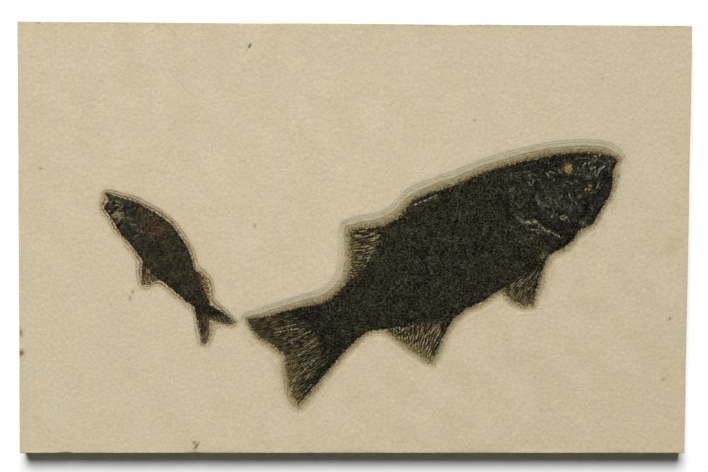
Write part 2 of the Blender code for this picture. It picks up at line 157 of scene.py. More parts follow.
SMALL_FINS = {
    "dorsal": {
        "side": 0,
        "span": (9.8, 13),
        "tips": [(-127.8, -28.4), (-125.6, -29.2), (-122.2, -28.2), (-119.4, -26.4), (-116.4, -26)],
        "bow": -0.6,
    },
    "anal": {
        "side": 1,
        "span": (12.4, 16.4),
        "tips": [(-88.6, -25.6), (-87.6, -29), (-87.2, -33), (-87.4, -36), (-87.9, -38)],
        "bow": 0.4,
    },
    "tail_upper": {
        "root": [(-96.6, -42), (-94, -42.4), (-91.4, -42.4)],
        "tips": [(-91.9, -63.8), (-89.4, -63.8), (-87.8, -60), (-87.3, -55), (-87.5, -49.8)],
        "bow": 1.3,
    },
    "tail_lower": {
        "root": [(-87, -40.4), (-89, -42), (-91.4, -42.4)],
        "tips": [(-71.9, -51), (-73.2, -52.7), (-78, -52.3), (-82.8, -51), (-87.5, -49.8)],
        "bow": 0.5,
    },
}
# The ring worked down round each fish: its width on the back and on the belly, where it narrows
# or widens as (x, y, reach, share of the width), its depth at the fish, its terraces as (place
# across the ring, half-width, share of the fall), the thin broken lines along it as (place,
# half-width, strength, colour), its tones as (place, colour), how dense its dark specks are, how
# far its lines wander in millimetres, the spacing of the fish's outline before it is made finer,
# and its rows of points and first seed. The darker lines along the terraces' steps are partly
# stain and partly painted shade where the steps fall away. Colours are given as 0 to 255 display
# values.
LARGE_HALO = {
    "width": (8.8, 5.9),
    "pinch": [(-66, -50, 8, 0.45), (-33.8, -100.4, 9, 1.3)],
    "depth": 1.4,
    "steps": [
        (0.93, 0.05, 0.2),
        (0.8, 0.045, 0.2),
        (0.53, 0.04, 0.24),
        (0.36, 0.05, 0.14),
        (0.16, 0.09, 0.22),
    ],
    "lines": [
        (0.13, 0.26, 0.35, (186, 169, 126)),
        (0.2, 0.3, 0.45, (104, 91, 58)),
        (0.34, 0.3, 0.3, (120, 106, 70)),
        (0.5, 0.28, 0.65, (124, 110, 72)),
        (0.66, 0.22, 0.3, (152, 138, 104)),
        (0.8, 0.25, 0.32, (148, 134, 102)),
        (0.96, 0.28, 0.45, (148, 134, 104)),
    ],
    "tones": [
        (0.0, (78, 69, 42)),
        (0.06, (100, 89, 57)),
        (0.15, (125, 111, 76)),
        (0.27, (149, 135, 97)),
        (0.48, (163, 149, 113)),
        (0.52, (175, 162, 130)),
        (0.6, (180, 167, 136)),
        (0.76, (188, 175, 146)),
        (0.82, (193, 180, 151)),
        (0.93, (195, 182, 154)),
        (1.0, (199, 185, 157)),
    ],
    "specks": 1.15,
    "wobble": 0.15,
    "outline_step": 2.5,
    "rows": 27,
    "seed": 40,
}
SMALL_HALO = {
    "width": (3.5, 3.8),
    "pinch": [(-72, -51, 6, 0.6)],
    "depth": 0.8,
    "steps": [(0.88, 0.09, 0.35), (0.5, 0.12, 0.3), (0.24, 0.12, 0.35)],
    "lines": [
        (0.18, 0.42, 1.0, (214, 196, 153)),
        (0.4, 0.34, 1.0, (92, 76, 48)),
        (0.62, 0.35, 0.6, (202, 186, 148)),
        (0.86, 0.35, 0.7, (132, 117, 88)),
    ],
    "tones": [
        (0.0, (122, 107, 76)),
        (0.1, (150, 133, 98)),
        (0.3, (150, 133, 98)),
        (0.45, (150, 134, 99)),
        (0.6, (164, 148, 114)),
        (0.78, (180, 164, 132)),
        (0.9, (190, 175, 145)),
        (1.0, (196, 182, 153)),
    ],
    "specks": 1.25,
    "wobble": 0.3,
    "outline_step": 2.0,
    "rows": 15,
    "seed": 60,
}
HALO_FINER = 4  # points of the ring for each point of the outline
HALO_TUCK = 0.45  # how far the worked rock runs in under a fish's edge
POCKET_DEPTH = 2.5  # how far below the full thickness the hidden rock under a fish lies
POCKET_TAPER = 0.25  # how far the hidden socket's wall leans in

# The face's tones at its corners: upper left and right, then lower left and right
FACE_TONES = [(205, 191, 161), (200, 186, 157), (200, 187, 157), (194, 180, 150)]
BACK_SHADE = 0.97  # the back's tone as a share of the face's
# Where the face is darker: (strength, width, share of it in red, green and blue)
EDGE_STAIN = (0.016, 4.0, (0.6, 0.8, 1.6))
RIM_STAIN = (0.022, 1.6, (0.8, 0.9, 1.1))
# Marks on the face: (x, y, half-length, half-width, angle, strength, colour)
FACE_MARKS = [
    (-63.1, 114.8, 1.3, 0.7, 60, 0.9, (70, 62, 52)),
    (-189.7, 129.0, 1.5, 0.6, 0, 0.7, (90, 72, 52)),
    (-60.1, 6.8, 1.4, 0.9, 110, 0.45, (120, 108, 86)),
    (-188.6, 41.2, 1.3, 0.8, 0, 0.5, (110, 96, 76)),
    (-172.0, 40.8, 14.0, 0.5, 2, 0.12, (130, 116, 92)),
    (-133.2, -32.8, 1.3, 0.8, 70, 0.6, (118, 108, 88)),
    (-135.0, -36.0, 1.1, 0.7, 80, 0.6, (118, 108, 88)),
    (-134.9, -37.8, 0.9, 0.6, 60, 0.55, (118, 108, 88)),
    (-95.1, -125.4, 2.4, 1.0, 60, 0.75, (92, 74, 50)),
    (-96.4, -123.2, 1.0, 0.8, 0, 0.6, (92, 74, 50)),
    (188.8, -48.9, 1.4, 1.0, 30, 0.55, (116, 96, 68)),
    (185.0, -85.4, 1.1, 0.8, 0, 0.45, (120, 104, 80)),
    (71.9, 70.1, 1.0, 0.8, 0, 0.45, (122, 108, 84)),
    (148.6, 95.4, 0.8, 0.6, 0, 0.45, (120, 106, 84)),
    (-58.5, -64.4, 1.0, 0.7, 0, 0.35, (130, 116, 92)),
    (-108.5, 121.9, 1.8, 1.2, 0, 0.2, (140, 128, 106)),
    (-201.0, -57.5, 1.6, 2.2, 0, 0.8, (112, 78, 44)),
    (-200.6, -69.5, 2.2, 1.8, 0, 0.85, (104, 68, 36)),
    (190.0, -6.0, 5.0, 3.0, 60, 0.16, (148, 130, 96)),
    (111.4, -103.7, 1.2, 1.0, 0, 0.25, (140, 126, 100)),
    (91.3, -61.7, 1.0, 0.8, 0, 0.25, (140, 126, 100)),
    (-135.7, -73.6, 1.1, 0.9, 0, 0.25, (140, 126, 100)),
    (48.5, 113.4, 3.0, 1.2, 20, 0.25, (226, 214, 190)),
    (126.4, 107.7, 3.4, 1.4, 0, 0.3, (228, 216, 192)),
    (-33.0, 78.6, 2.2, 6.5, 12, 0.14, (224, 212, 186)),
    (-140.9, 54.1, 3.0, 1.4, 40, 0.15, (224, 212, 186)),
]
SOFT_MARK = (2.5, 1.3)  # a mark longer and wider than this needs no finer points of its own
# Stains on the worked rings: (x, y, radius, strength, colour)
RING_STAINS = [
    (110.7, 49.4, 1.3, 0.6, (112, 98, 62)),
    (116.8, 50.7, 0.8, 0.6, (96, 82, 52)),
    (113.8, 50.1, 0.8, 0.6, (96, 82, 52)),
    (122.8, 49.7, 0.8, 0.5, (96, 82, 52)),
    (127.6, 50.1, 0.7, 0.5, (96, 82, 52)),
    (103.4, 46.8, 0.8, 0.5, (96, 82, 52)),
    (98.3, 45.3, 0.8, 0.5, (96, 82, 52)),
    (142.9, 50.5, 0.8, 0.5, (96, 82, 52)),
    (102.4, 45.6, 0.8, 0.6, (196, 180, 138)),
    (158.5, 36.6, 1.0, 0.5, (108, 94, 60)),
    (157.6, 39.6, 1.8, 0.35, (172, 152, 100)),
    (75.0, -39.6, 1.3, 0.7, (202, 180, 146)),
    (58.5, 31.8, 1.0, 0.6, (196, 180, 138)),
    (50.6, 28.2, 1.0, 0.6, (196, 180, 138)),
    (-129.0, -25.0, 1.6, 0.4, (186, 166, 126)),
    (-89.0, -31.0, 1.6, 0.4, (180, 156, 112)),
    (47.6, -77.6, 1.6, 0.4, (170, 152, 108)),
]
# The laminae and the rust on the sawn sides, and the dark and pale grains in the rock
LAMINA_DARK, LAMINA_PALE, RUST = (150, 130, 96), (214, 200, 170), (132, 92, 52)
DARK_SPECK, PALE_CHIP = (58, 50, 33), (196, 180, 138)


def curve(points, u):
    """Catmull-Rom curve through the points, at u counted in points: a cubic between each two."""
    p = np.asarray(points, float)
    p = np.vstack([2 * p[0] - p[1], p, 2 * p[-1] - p[-2]])
    u = np.clip(np.asarray(u, float), 0, len(points) - 1)
    k = np.minimum(u.astype(int), len(points) - 2)
    f = (u - k)[..., None]
    a, b, c, d = (p[k + i] for i in range(4))
    square, cube = 2 * a - 5 * b + 4 * c - d, 3 * b - 3 * c + d - a
    return 0.5 * (2 * b + (c - a) * f + square * f**2 + cube * f**3)


def body_side(body, side, station):
    """Point on the back (side 0) or the belly (side 1) at a station counted in the body's pairs."""
    return curve([pair[side] for pair in body], station)


def fin_plan(body, fin, across, along):
    """Plan point of a fin: root + a (tip - root), bowed sideways by c a^p (1 - a) bow, a = along.

    The tail's two lobes meet along a straight ray, so there the bow fades out across the fan.
    """
    if "root" in fin:
        root = curve(fin["root"], across * (len(fin["root"]) - 1))
    else:
        first, last = fin["span"]
        root = body_side(body, fin["side"], first + across * (last - first))
    tip = curve(fin["tips"], across * (len(fin["tips"]) - 1))
    reach = tip - root
    length = np.maximum(np.linalg.norm(reach, axis=-1, keepdims=True), 1e-6)
    sideways = np.stack([-reach[..., 1], reach[..., 0]], axis=-1) / length
    roots, first = root.reshape(-1, 2), reach.reshape(-1, 2)[0]
    spread = roots[-1] - roots[0]
    turn = -1 if first[0] * spread[1] - first[1] * spread[0] > 0 else 1
    bow = fin["bow"] * turn * length / length.max()
    if "side" not in fin:
        bow = bow * (1 - across[..., None])
    a, p = along[..., None], fin.get("skew", 1)
    bend = np.maximum(a, 0) ** p * (1 - a) * (p + 1) ** (p + 1) / p**p
    return root + a * reach + bend * bow * sideways


def spaced(line, step):
    """An open line with its points spread evenly at about this step, its ends kept."""
    along = np.concatenate([[0], np.cumsum(np.linalg.norm(np.diff(line, axis=0), axis=1))])
    where = np.linspace(0, along[-1], max(2, round(along[-1] / step) + 1))
    return np.stack([np.interp(where, along, line[:, i]) for i in range(2)], axis=1)


def apart(loop, gap):
    """A closed loop without the points that lie nearer than gap to the one before them."""
    step = np.linalg.norm(loop - np.roll(loop, 1, axis=0), axis=1)
    return loop[step > gap]


def fish_outline(body, fins, step):
    """The closed outline of a fish, from its mouth along the back, round the tail and back."""
    share = np.linspace(0, 1, 200)
    last = len(body) - 1

    def edges(name):
        """A fin's front edge and its trailing edge."""
        flat = np.zeros_like(share)
        front = fin_plan(body, fins[name], flat, share)
        return front, fin_plan(body, fins[name], share, flat + 1)

    def side_runs(side):
        """The back or the belly with its fins, as runs of points from the mouth to the tail."""
        names = [name for name in fins if fins[name].get("side") == side]
        found, station = [], 0
        for name in sorted(names, key=lambda n: fins[n]["span"][0]):
            first, end = fins[name]["span"]
            found += [body_side(body, side, station + share * (first - station)), *edges(name)]
            station = end
        return found + [body_side(body, side, station + share * (last - station))]

    upper_front, upper_rear = edges("tail_upper")
    lower_front, lower_rear = edges("tail_lower")
    runs = side_runs(0) + [upper_front, upper_rear, lower_rear[::-1], lower_front[::-1]]
    runs += [run[::-1] for run in reversed(side_runs(1))]
    return apart(np.vstack([spaced(run, step) for run in runs]), 0.4 * min(1, step))


def unit(vectors):
    """Vectors brought to length 1."""
    return vectors / np.maximum(np.linalg.norm(vectors, axis=-1, keepdims=True), 1e-6)


def pushed_out(loop, by):
    """A closed loop with each edge moved outwards: p + by (n1 + n2)/(1 + n1 n2) at its corners."""
    x, y = loop.T
    turn = 1 if np.sum(x * np.roll(y, -1) - np.roll(x, -1) * y) > 0 else -1
    along = unit(np.roll(loop, -1, axis=0) - loop)
    after = turn * np.stack([along[:, 1], -along[:, 0]], axis=1)
    before = np.roll(after, 1, axis=0)
    meet = 1 + np.sum(before * after, axis=1, keepdims=True)
    return loop + by * (before + after) / np.maximum(meet, 0.45)


def foot_points(points, run, closed=True):
    """The nearest point on a run for each point, and the index of the run's edge there."""
    starts, ends = (run, np.roll(run, -1, axis=0)) if closed else (run[:-1], run[1:])
    span = ends - starts
    square = np.maximum(np.sum(span**2, axis=1), 1e-12)
    feet, index = [], []
    for part in np.array_split(points, len(points) // 4000 + 1):
        share = np.sum((part[:, None] - starts) * span, axis=2) / square
        near = starts + np.clip(share, 0, 1)[..., None] * span
        k = np.linalg.norm(part[:, None] - near, axis=2).argmin(axis=1)
        feet.append(near[np.arange(len(part)), k])
        index.append(k)
    return np.vstack(feet), np.concatenate(index)


def gap_to(points, run, closed=True):
    """Distance from each point to a run of points."""
    return np.linalg.norm(points - foot_points(points, run, closed)[0], axis=1)


def evened(loop, times=1):
    """A closed loop with each point moved toward the middle of its neighbours, again and again."""
    for _ in range(times):
        loop = 0.25 * np.roll(loop, 1, axis=0) + 0.5 * loop + 0.25 * np.roll(loop, -1, axis=0)
    return loop


def halo_rim(body, halo, edge):
    """The rim of the worked ring: the outline pushed out by its width and settled round the tips.

    The loop is evened and each point put back at its distance from the outline, again and again.
    """
    stations = np.linspace(0, len(body) - 1, 120)
    to_back = gap_to(edge, body_side(body, 0, stations), closed=False)
    to_belly = gap_to(edge, body_side(body, 1, stations), closed=False)
    on_back = (to_belly / np.maximum(to_back + to_belly, 1e-6))[:, None]
    width = halo["width"][1] + (halo["width"][0] - halo["width"][1]) * on_back
    for x, y, reach, left in halo["pinch"]:
        near = np.exp(-np.sum(((edge - (x, y)) / reach) ** 2, axis=1, keepdims=True))
        width = width * (1 - (1 - left) * near)
    width = evened(width, 8)
    ring = pushed_out(edge, 0.7 * width)
    for _ in range(60):
        ring = evened(ring)
        feet, index = foot_points(ring, edge)
        away = ring - feet
        ring = feet + away / np.linalg.norm(away, axis=1, keepdims=True) * width[index]
    return evened(ring, 3)


def finer(loop, times):
    """A closed loop with its points multiplied, on the Catmull-Rom curve through them."""
    wrapped = np.vstack([loop[-2:], loop, loop[:3]])
    return curve(wrapped, 2 + np.arange(len(loop) * times) / times)


def wander(x, y, size, seed, waves=14):
    """A smooth random field of unit size: the sum of plane waves of about this length, all ways."""
    r = np.random.default_rng(seed)
    angle, phase = r.uniform(0, 2 * np.pi, (2, waves))
    length = size * r.uniform(0.7, 1.5, waves)
    total = sum(
        np.sin(2 * np.pi * (x * np.cos(g) + y * np.sin(g)) / s + f)
        for g, f, s in zip(angle, phase, length)
    )
    return total / np.sqrt(waves / 2)


def smooth_step(x, low, high):
    """0 below low, 1 above high, and 3 s^2 - 2 s^3 between them."""
    s = np.clip((x - low) / (high - low), 0, 1)
    return s * s * (3 - 2 * s)


def linear(colour):
    """Display colour 0 to 255 as linear light 0 to 1."""
    c = np.asarray(colour, float) / 255
    return np.where(c <= 0.04045, c / 12.92, ((c + 0.055) / 1.055) ** 2.4)


def tone_at(stops, share):
    """The colour at a share, straight between the stops' display colours."""
    where = [s for s, _ in stops]
    parts = [np.interp(share, where, [c[i] for _, c in stops]) for i in range(3)]
    return np.stack(parts, axis=-1)


def blended(tone, colour, share):
    """A tone moved towards a colour by a share: tone + (colour - tone) share."""
    return tone + (np.array(colour) - tone) * share[..., None]


def darkened(tone, gap, strength, width, channels):
    """A tone darkened near a line by strength e^(-gap/width), by a share of it in each channel."""
    return tone * (1 - strength * np.exp(-gap / width)[:, None] * channels)


def grid_faces(rows, columns, closed_rows=False):
    """Triangles of a grid of points numbered row by row, its last row joined on if closed."""
    i = np.arange(rows if closed_rows else rows - 1)[:, None]
    j = np.arange(columns - 1)[None]
    a, b = i * columns + j, ((i + 1) % rows) * columns + j
    first = np.stack([a, b, b + 1], axis=-1).reshape(-1, 3)
    second = np.stack([a, b + 1, a + 1], axis=-1).reshape(-1, 3)
    return np.vstack([first, second])


def inside(points, loop):
    """True for points inside a closed loop: a ray from each crosses it an odd number of times."""
    x, y = points[:, 0, None], points[:, 1, None]
    x0, y0 = loop.T
    x1, y1 = np.roll(loop, -1, axis=0).T
    meets = x0 + (y - y0) * (x1 - x0) / np.where(y1 == y0, 1e-9, y1 - y0)
    return (np.sum(((y0 > y) != (y1 > y)) & (x < meets), axis=1) % 2).astype(bool)


def clear_of(points, loop, gap, within):
    """The points that lie further than gap from a closed loop, inside it or outside it."""
    return points[(inside(points, loop) == within) & (gap_to(points, loop) > gap)]


def snapped(points):
    """Points at the nearest 1/1024 mm, which a mesh's numbers hold exactly, so that rings meet."""
    return np.round(np.asarray(points, float) * 1024) / 1024


def filled(loops, loose):
    """Triangles that fill the first loop and leave out the others, through the loose points."""
    rows = snapped(np.vstack([*loops, loose]) if len(loose) else np.vstack(loops))
    loops = [snapped(loop) for loop in loops]
    edges, start = [], 0
    for loop in loops:
        edges += [(start + i, start + (i + 1) % len(loop)) for i in range(len(loop))]
        start += len(loop)
    made = delaunay_2d_cdt([tuple(p) for p in rows], edges, [], 1, 1e-5)
    plan, faces = np.array([tuple(p) for p in made[0]]), np.array(made[2])
    for hole in loops[1:]:
        faces = faces[~inside(plan[faces].mean(axis=1), hole)]
    return plan, faces


def lay_mesh(name, parts, material):
    """One closed mesh object from parts of (points, faces, {attribute: values}), in millimetres.

    Points that coincide are joined, faces that this closes up are dropped, and all faces are
    turned outwards.
    """
    points = np.vstack([p for p, _, _ in parts])
    starts = np.cumsum([0] + [len(p) for p, _, _ in parts[:-1]])
    faces = np.vstack([f + s for (_, f, _), s in zip(parts, starts)])
    near = np.round(points * 1024).astype(np.int64)
    _, first, place = np.unique(near, axis=0, return_index=True, return_inverse=True)
    faces = place.reshape(-1)[faces]
    faces = faces[(faces != np.roll(faces, -1, axis=1)).all(axis=1)]
    mesh = bpy.data.meshes.new(name)
    mesh.vertices.add(len(first))
    mesh.vertices.foreach_set("co", (snapped(points[first]) * MM).ravel())
    mesh.loops.add(faces.size)
    mesh.loops.foreach_set("vertex_index", faces.ravel())
    mesh.polygons.add(len(faces))
    mesh.polygons.foreach_set("loop_start", np.arange(0, faces.size, 3))
    mesh.polygons.foreach_set("loop_total", np.full(len(faces), 3))
    mesh.polygons.foreach_set("use_smooth", np.ones(len(faces), bool))
    mesh.update()
    for key in sorted({k for _, _, shares in parts for k in shares}):
        sample = next(s[key] for _, _, s in parts if key in s)
        if np.ndim(sample) == 2:
            kind, field = "FLOAT_COLOR", "color"
            values = np.vstack([s.get(key, np.zeros((len(p), 3))) for p, _, s in parts])[first]
            values = np.column_stack([values, np.ones(len(first))])
        else:
            kind, field = "FLOAT", "value"
            values = [np.broadcast_to(s.get(key, 0.0), len(p)) for p, _, s in parts]
            values = np.concatenate(values)[first].astype(np.float32)
        mesh.attributes.new(key, kind, "POINT").data.foreach_set(field, values.ravel())
    bm = bmesh.new()
    bm.from_mesh(mesh)
    bmesh.ops.recalc_face_normals(bm, faces=bm.faces)
    if bm.calc_volume(signed=True) < 0:
        bmesh.ops.reverse_faces(bm, faces=bm.faces)
    bm.to_mesh(mesh)
    bm.free()
    mesh.materials.append(material)
    piece = bpy.data.objects.new(name, mesh)
    bpy.context.scene.collection.objects.link(piece)
    return piece


def sawn_edge(step):
    """The slab's outline in plan: four sawn sides, three of them wandering a little inwards."""
    runs = []
    for k, start in enumerate(SLAB_CORNERS):
        start, end = np.array(start), np.array(SLAB_CORNERS[(k + 1) % 4])
        length = np.linalg.norm(end - start)
        share = np.linspace(0, 1, round(length / step), endpoint=False)
        inwards = np.array([end[1] - start[1], start[0] - end[0]]) / length
        along = share * length
        wave = 0.6 * np.sin(along / 31 + 2 * k) + 0.4 * np.sin(along / 12.5 + 5 * k)
        bend = (0 if k == 2 else SLAB_EDGE_WAVE) * np.abs(wave) * np.sin(np.pi * share)
        runs.append(start + share[:, None] * (end - start) + bend[:, None] * inwards)
    return np.vstack(runs)


def face_height(x, y):
    """Height of the slab's face: flat but for wide shallow swells and a finer unevenness."""
    return SLAB_THICKNESS - FACE_DROP - 0.05 * wander(x, y, 90, 3) - 0.015 * wander(x, y, 9, 4)


def face_tone(x, y, rims):
    """Display colour of the face.

    It runs straight between the corners' tones, a little paler in the middle, and darker and
    yellower at the sawn edges and the worked rings' rims. Then it is faintly clouded, and the
    marks are laid over it, each by strength e^(-1.2 ((u/long)^2 + (v/wide)^2)) with a ragged edge.
    """
    right = np.clip((x + HALF_LENGTH) / (2 * HALF_LENGTH), 0, 1)[:, None]
    down = np.clip((HALF_WIDTH - y) / (2 * HALF_WIDTH), 0, 1)[:, None]
    nw, ne, sw, se = (np.array(t, float) for t in FACE_TONES)
    tone = (1 - down) * ((1 - right) * nw + right * ne) + down * ((1 - right) * sw + right * se)
    tone = tone * (1 + 0.016 * np.exp(-((x / 130) ** 2) - ((y - 30) / 90) ** 2))[:, None]
    spot = np.stack([x, y], axis=1)
    tone = darkened(tone, gap_to(spot, np.array(SLAB_CORNERS)), *EDGE_STAIN)
    for rim in rims:
        tone = darkened(tone, gap_to(spot, rim), *RIM_STAIN)
    tone = tone * (1 + 0.004 * wander(x, y, 34, 11)[:, None] * (0.8, 1.0, 1.5))
    ragged = np.clip(1 + 0.3 * wander(x, y, 1.6, 17), 0.4, 2)
    for mx, my, half_long, half_wide, angle, strength, colour in FACE_MARKS:
        c, s = np.cos(np.radians(angle)), np.sin(np.radians(angle))
        u, v = (x - mx) * c + (y - my) * s, (y - my) * c - (x - mx) * s
        far = (u / half_long) ** 2 + (v / half_wide) ** 2
        tone = blended(tone, colour, strength * np.exp(-1.2 * far * ragged))
    return tone


def halo_band(edge, rim, halo):
    """The worked ring as a grid: v from the fish's edge (0) to the rim (1) on each line outwards.

    Height: the face's, less the depth times a fall of soft terraces whose places wander along the
    ring, the more the narrower it is, with a fine unevenness. Colour: the tones by v, with thin
    broken lines along the terraces, partly stain and partly painted shade along the steps, which
    wobble the more the nearer they lie to the fish, and the stains.
    """
    seed = halo["seed"]
    v = np.linspace(0, 1, halo["rows"])[None, :, None]
    plan = snapped(edge[:, None] + v * (rim - edge)[:, None])
    x, y, v = plan[..., 0], plan[..., 1], v[..., 0] + np.zeros(len(edge))[:, None]
    wide = np.linalg.norm(rim - edge, axis=1)[:, None]
    uneven = 1 + 2.2 * smooth_step(-wide, -8, -5.6)
    drift = uneven * (0.022 * wander(x, y, 34, seed) + 0.014 * wander(x, y, 11, seed + 1))
    w = np.clip(v + drift * np.sin(np.pi * v), 0, 1)
    fall = sum(
        share * (1 - smooth_step(w, at - half, at + 0.6 * half))
        for at, half, share in halo["steps"]
    )
    rough = 0.03 * wander(x, y, 2.4, seed + 2, 24) + 0.04 * wander(x, y, 1.2, seed + 3, 24)
    rough = rough * np.sin(np.pi * v) ** 0.5
    z = face_height(x, y) - halo["depth"] * (0.85 * fall + 0.15 * (1 - w)) + rough
    stain = 0.04 * wander(x, y, 3.2, seed + 4, 24) + 0.06 * wander(x, y, 1.3, seed + 5, 24)
    tone = tone_at(halo["tones"], np.clip(w + stain * (1 - w), 0, 1))
    wobble = halo["wobble"] * (1 - 0.8 * v) * wander(x, y, 2.4, seed + 9, 24)
    broken = 0.7 + 0.45 * wander(x, y, 9, seed + 6) + 0.3 * wander(x, y, 1.4, seed + 7)
    broken = np.clip(broken, 0, 1)
    # the darker lines at the terraces' steps: partly stain, partly painted shade of the steps
    for at, half_width, strength, colour in halo["lines"]:
        thin = np.exp(-((((w - at) * wide + wobble) / half_width) ** 2))
        tone = blended(tone, colour, strength * thin * broken)
    ragged = 1 + 0.2 * wander(x, y, 1.5, seed + 8)
    for sx, sy, radius, strength, colour in RING_STAINS:
        r = np.hypot(x - sx, y - sy) * ragged / radius
        tone = blended(tone, colour, strength * np.exp(-(r**4)))
    shares = {
        "tone": linear(tone).reshape(-1, 3),
        "speck": (halo["specks"] * np.exp(-2.9 * v)).ravel(),
        "worked": (1 - v).ravel(),
    }
    return np.stack([x, y, z], axis=-1), shares


def slab_sides(outline):
    """The sawn sides as a profile carried round the outline: worn edge, lamina by lamina, foot.

    Each row is the outline moved in by the profile's inset: a quarter round of the wear at the
    top, the laminae's own small ledges down the side, and a quarter round at the foot.
    """
    x, y = outline.T
    along = np.concatenate([[0], np.cumsum(np.linalg.norm(np.diff(outline, axis=0), axis=1))])
    wear = SLAB_ARRIS + 0.12 * np.abs(wander(along, 0, 5, 21))
    wear = wear + 0.08 * np.abs(wander(along, 0, 1.9, 22))
    for cx, cy, reach, depth in SLAB_CHIPS:
        wear = wear + depth * np.exp(-(((x - cx) ** 2 + (y - cy) ** 2) / reach**2))
    turns = np.radians([0, 22, 45, 68, 90])
    rows = [(wear * (1 - np.sin(a)), SLAB_THICKNESS - wear * (1 - np.cos(a))) for a in turns]
    ledge = np.random.default_rng(5).uniform(0, LAMINA_LEDGE, LAMINA_ROWS)
    for k in range(LAMINA_ROWS):
        share = (k + 1) / (LAMINA_ROWS + 1)
        z = (SLAB_THICKNESS - wear) * (1 - share) + 0.5 * share
        rough = 0.05 * np.abs(wander(along, z * 9, 3, 31))
        rough = rough + 0.03 * np.abs(wander(along, z * 5, 1.4, 32))
        rows.append(((ledge[k] + rough) * np.sin(np.pi * share) ** 0.3, z))
    rows += [(inset + 0 * wear, z + 0 * wear) for inset, z in FOOT_PROFILE]
    points = [np.column_stack([pushed_out(outline, -inset[:, None]), z]) for inset, z in rows]
    top_ring = points[0]
    top_ring[:, :2] = snapped(top_ring[:, :2])
    top_ring[:, 2] = face_height(*top_ring[:, :2].T)
    return np.stack(points, axis=1)


def socket(inner):
    """The hidden rock under a fish: a short wall down from the ring's inner edge, and a floor."""
    low = SLAB_THICKNESS - POCKET_DEPTH
    foot = evened(pushed_out(inner[:, :2], -POCKET_TAPER), 6)
    wall = np.stack([inner, np.column_stack([foot, np.full(len(foot), low)])], axis=1)
    plan, faces = filled([foot], [])
    floor_points = np.column_stack([plan, np.full(len(plan), low)])
    wall_faces = grid_faces(len(inner), 2, closed_rows=True)
    return [(wall.reshape(-1, 3), wall_faces, {}), (floor_points, faces, {})]


def node(tree, kind, inputs=(), **settings):
    """A shader node with its settings, and its inputs, by name or number, set or linked."""
    made = tree.nodes.new(kind)
    for key, value in settings.items():
        setattr(made, key, value)
    for key, value in dict(inputs).items():
        if isinstance(value, bpy.types.NodeSocket):
            tree.links.new(value, made.inputs[key])
        else:
            made.inputs[key].default_value = value
    return made


def new_material(name):
    """A material, with its node tree and its shader."""
    made = bpy.data.materials.new(name)
    made.use_nodes = True
    return made, made.node_tree, made.node_tree.nodes["Principled BSDF"]


def attribute(tree, name, output="Fac"):
    """One of the mesh's own attributes."""
    return node(tree, "ShaderNodeAttribute", attribute_name=name).outputs[output]


def noise(tree, size_mm, detail=2.0, stretch=(1, 1, 1), rough=0.5):
    """Noise with grains of about this size on the object's own coordinates, stretched per axis."""
    place = node(tree, "ShaderNodeTexCoord").outputs["Object"]
    scaled = node(tree, "ShaderNodeMapping", {"Vector": place, "Scale": stretch}).outputs["Vector"]
    inputs = {"Vector": scaled, "Scale": 1000 / size_mm, "Detail": detail, "Roughness": rough}
    return node(tree, "ShaderNodeTexNoise", inputs).outputs["Fac"]


def ranged(tree, value, low, high, to_low=0.0, to_high=1.0):
    """A value mapped from one range to another, and held inside it."""
    inputs = {"Value": value, "From Min": low, "From Max": high}
    inputs.update({"To Min": to_low, "To Max": to_high})
    return node(tree, "ShaderNodeMapRange", inputs).outputs["Result"]


def maths(tree, kind, a, b=0.0):
    """One step of arithmetic."""
    return node(tree, "ShaderNodeMath", {0: a, 1: b}, operation=kind).outputs[0]


def times(tree, a, b):
    """The product of two values."""
    return maths(tree, "MULTIPLY", a, b)


def plus(tree, a, b):
    """The sum of two values."""
    return maths(tree, "ADD", a, b)


def minus(tree, a, b):
    """The difference of two values."""
    return maths(tree, "SUBTRACT", a, b)


def mixed(tree, share, a, b, blend="MIX"):
    """Colour a mixed with colour b by a share; a plain colour is a display value."""
    made = node(tree, "ShaderNodeMix", data_type="RGBA", blend_type=blend)
    for key, value in ((0, share), (6, a), (7, b)):
        if isinstance(value, bpy.types.NodeSocket):
            tree.links.new(value, made.inputs[key])
        else:
            made.inputs[key].default_value = value if key == 0 else (*linear(value), 1)
    return made.outputs[2]


def shaded(tree, tone, value):
    """A colour multiplied by a grey value."""
    grey = node(tree, "ShaderNodeCombineColor", {0: value, 1: value, 2: value}).outputs[0]
    return mixed(tree, 1.0, tone, grey, "MULTIPLY")


def finish_shader(tree, shader, colour, dull, shine, reliefs):
    """The shader's colour, roughness, shine and relief.

    dull is (grain in mm, lowest roughness, highest). Each relief is (height, strength, distance in
    metres), and lies on the one before.
    """
    grain, low, high = dull
    tree.links.new(colour, shader.inputs["Base Color"])
    rough = ranged(tree, noise(tree, grain, 2), 0.3, 0.7, low, high)
    tree.links.new(rough, shader.inputs["Roughness"])
    shader.inputs["Specular IOR Level"].default_value = shine
    below = {}
    for height, strength, distance in reliefs:
        inputs = {"Height": height, "Strength": strength, "Distance": distance, **below}
        below = {"Normal": node(tree, "ShaderNodeBump", inputs).outputs[0]}
    tree.links.new(below["Normal"], shader.inputs["Normal"])


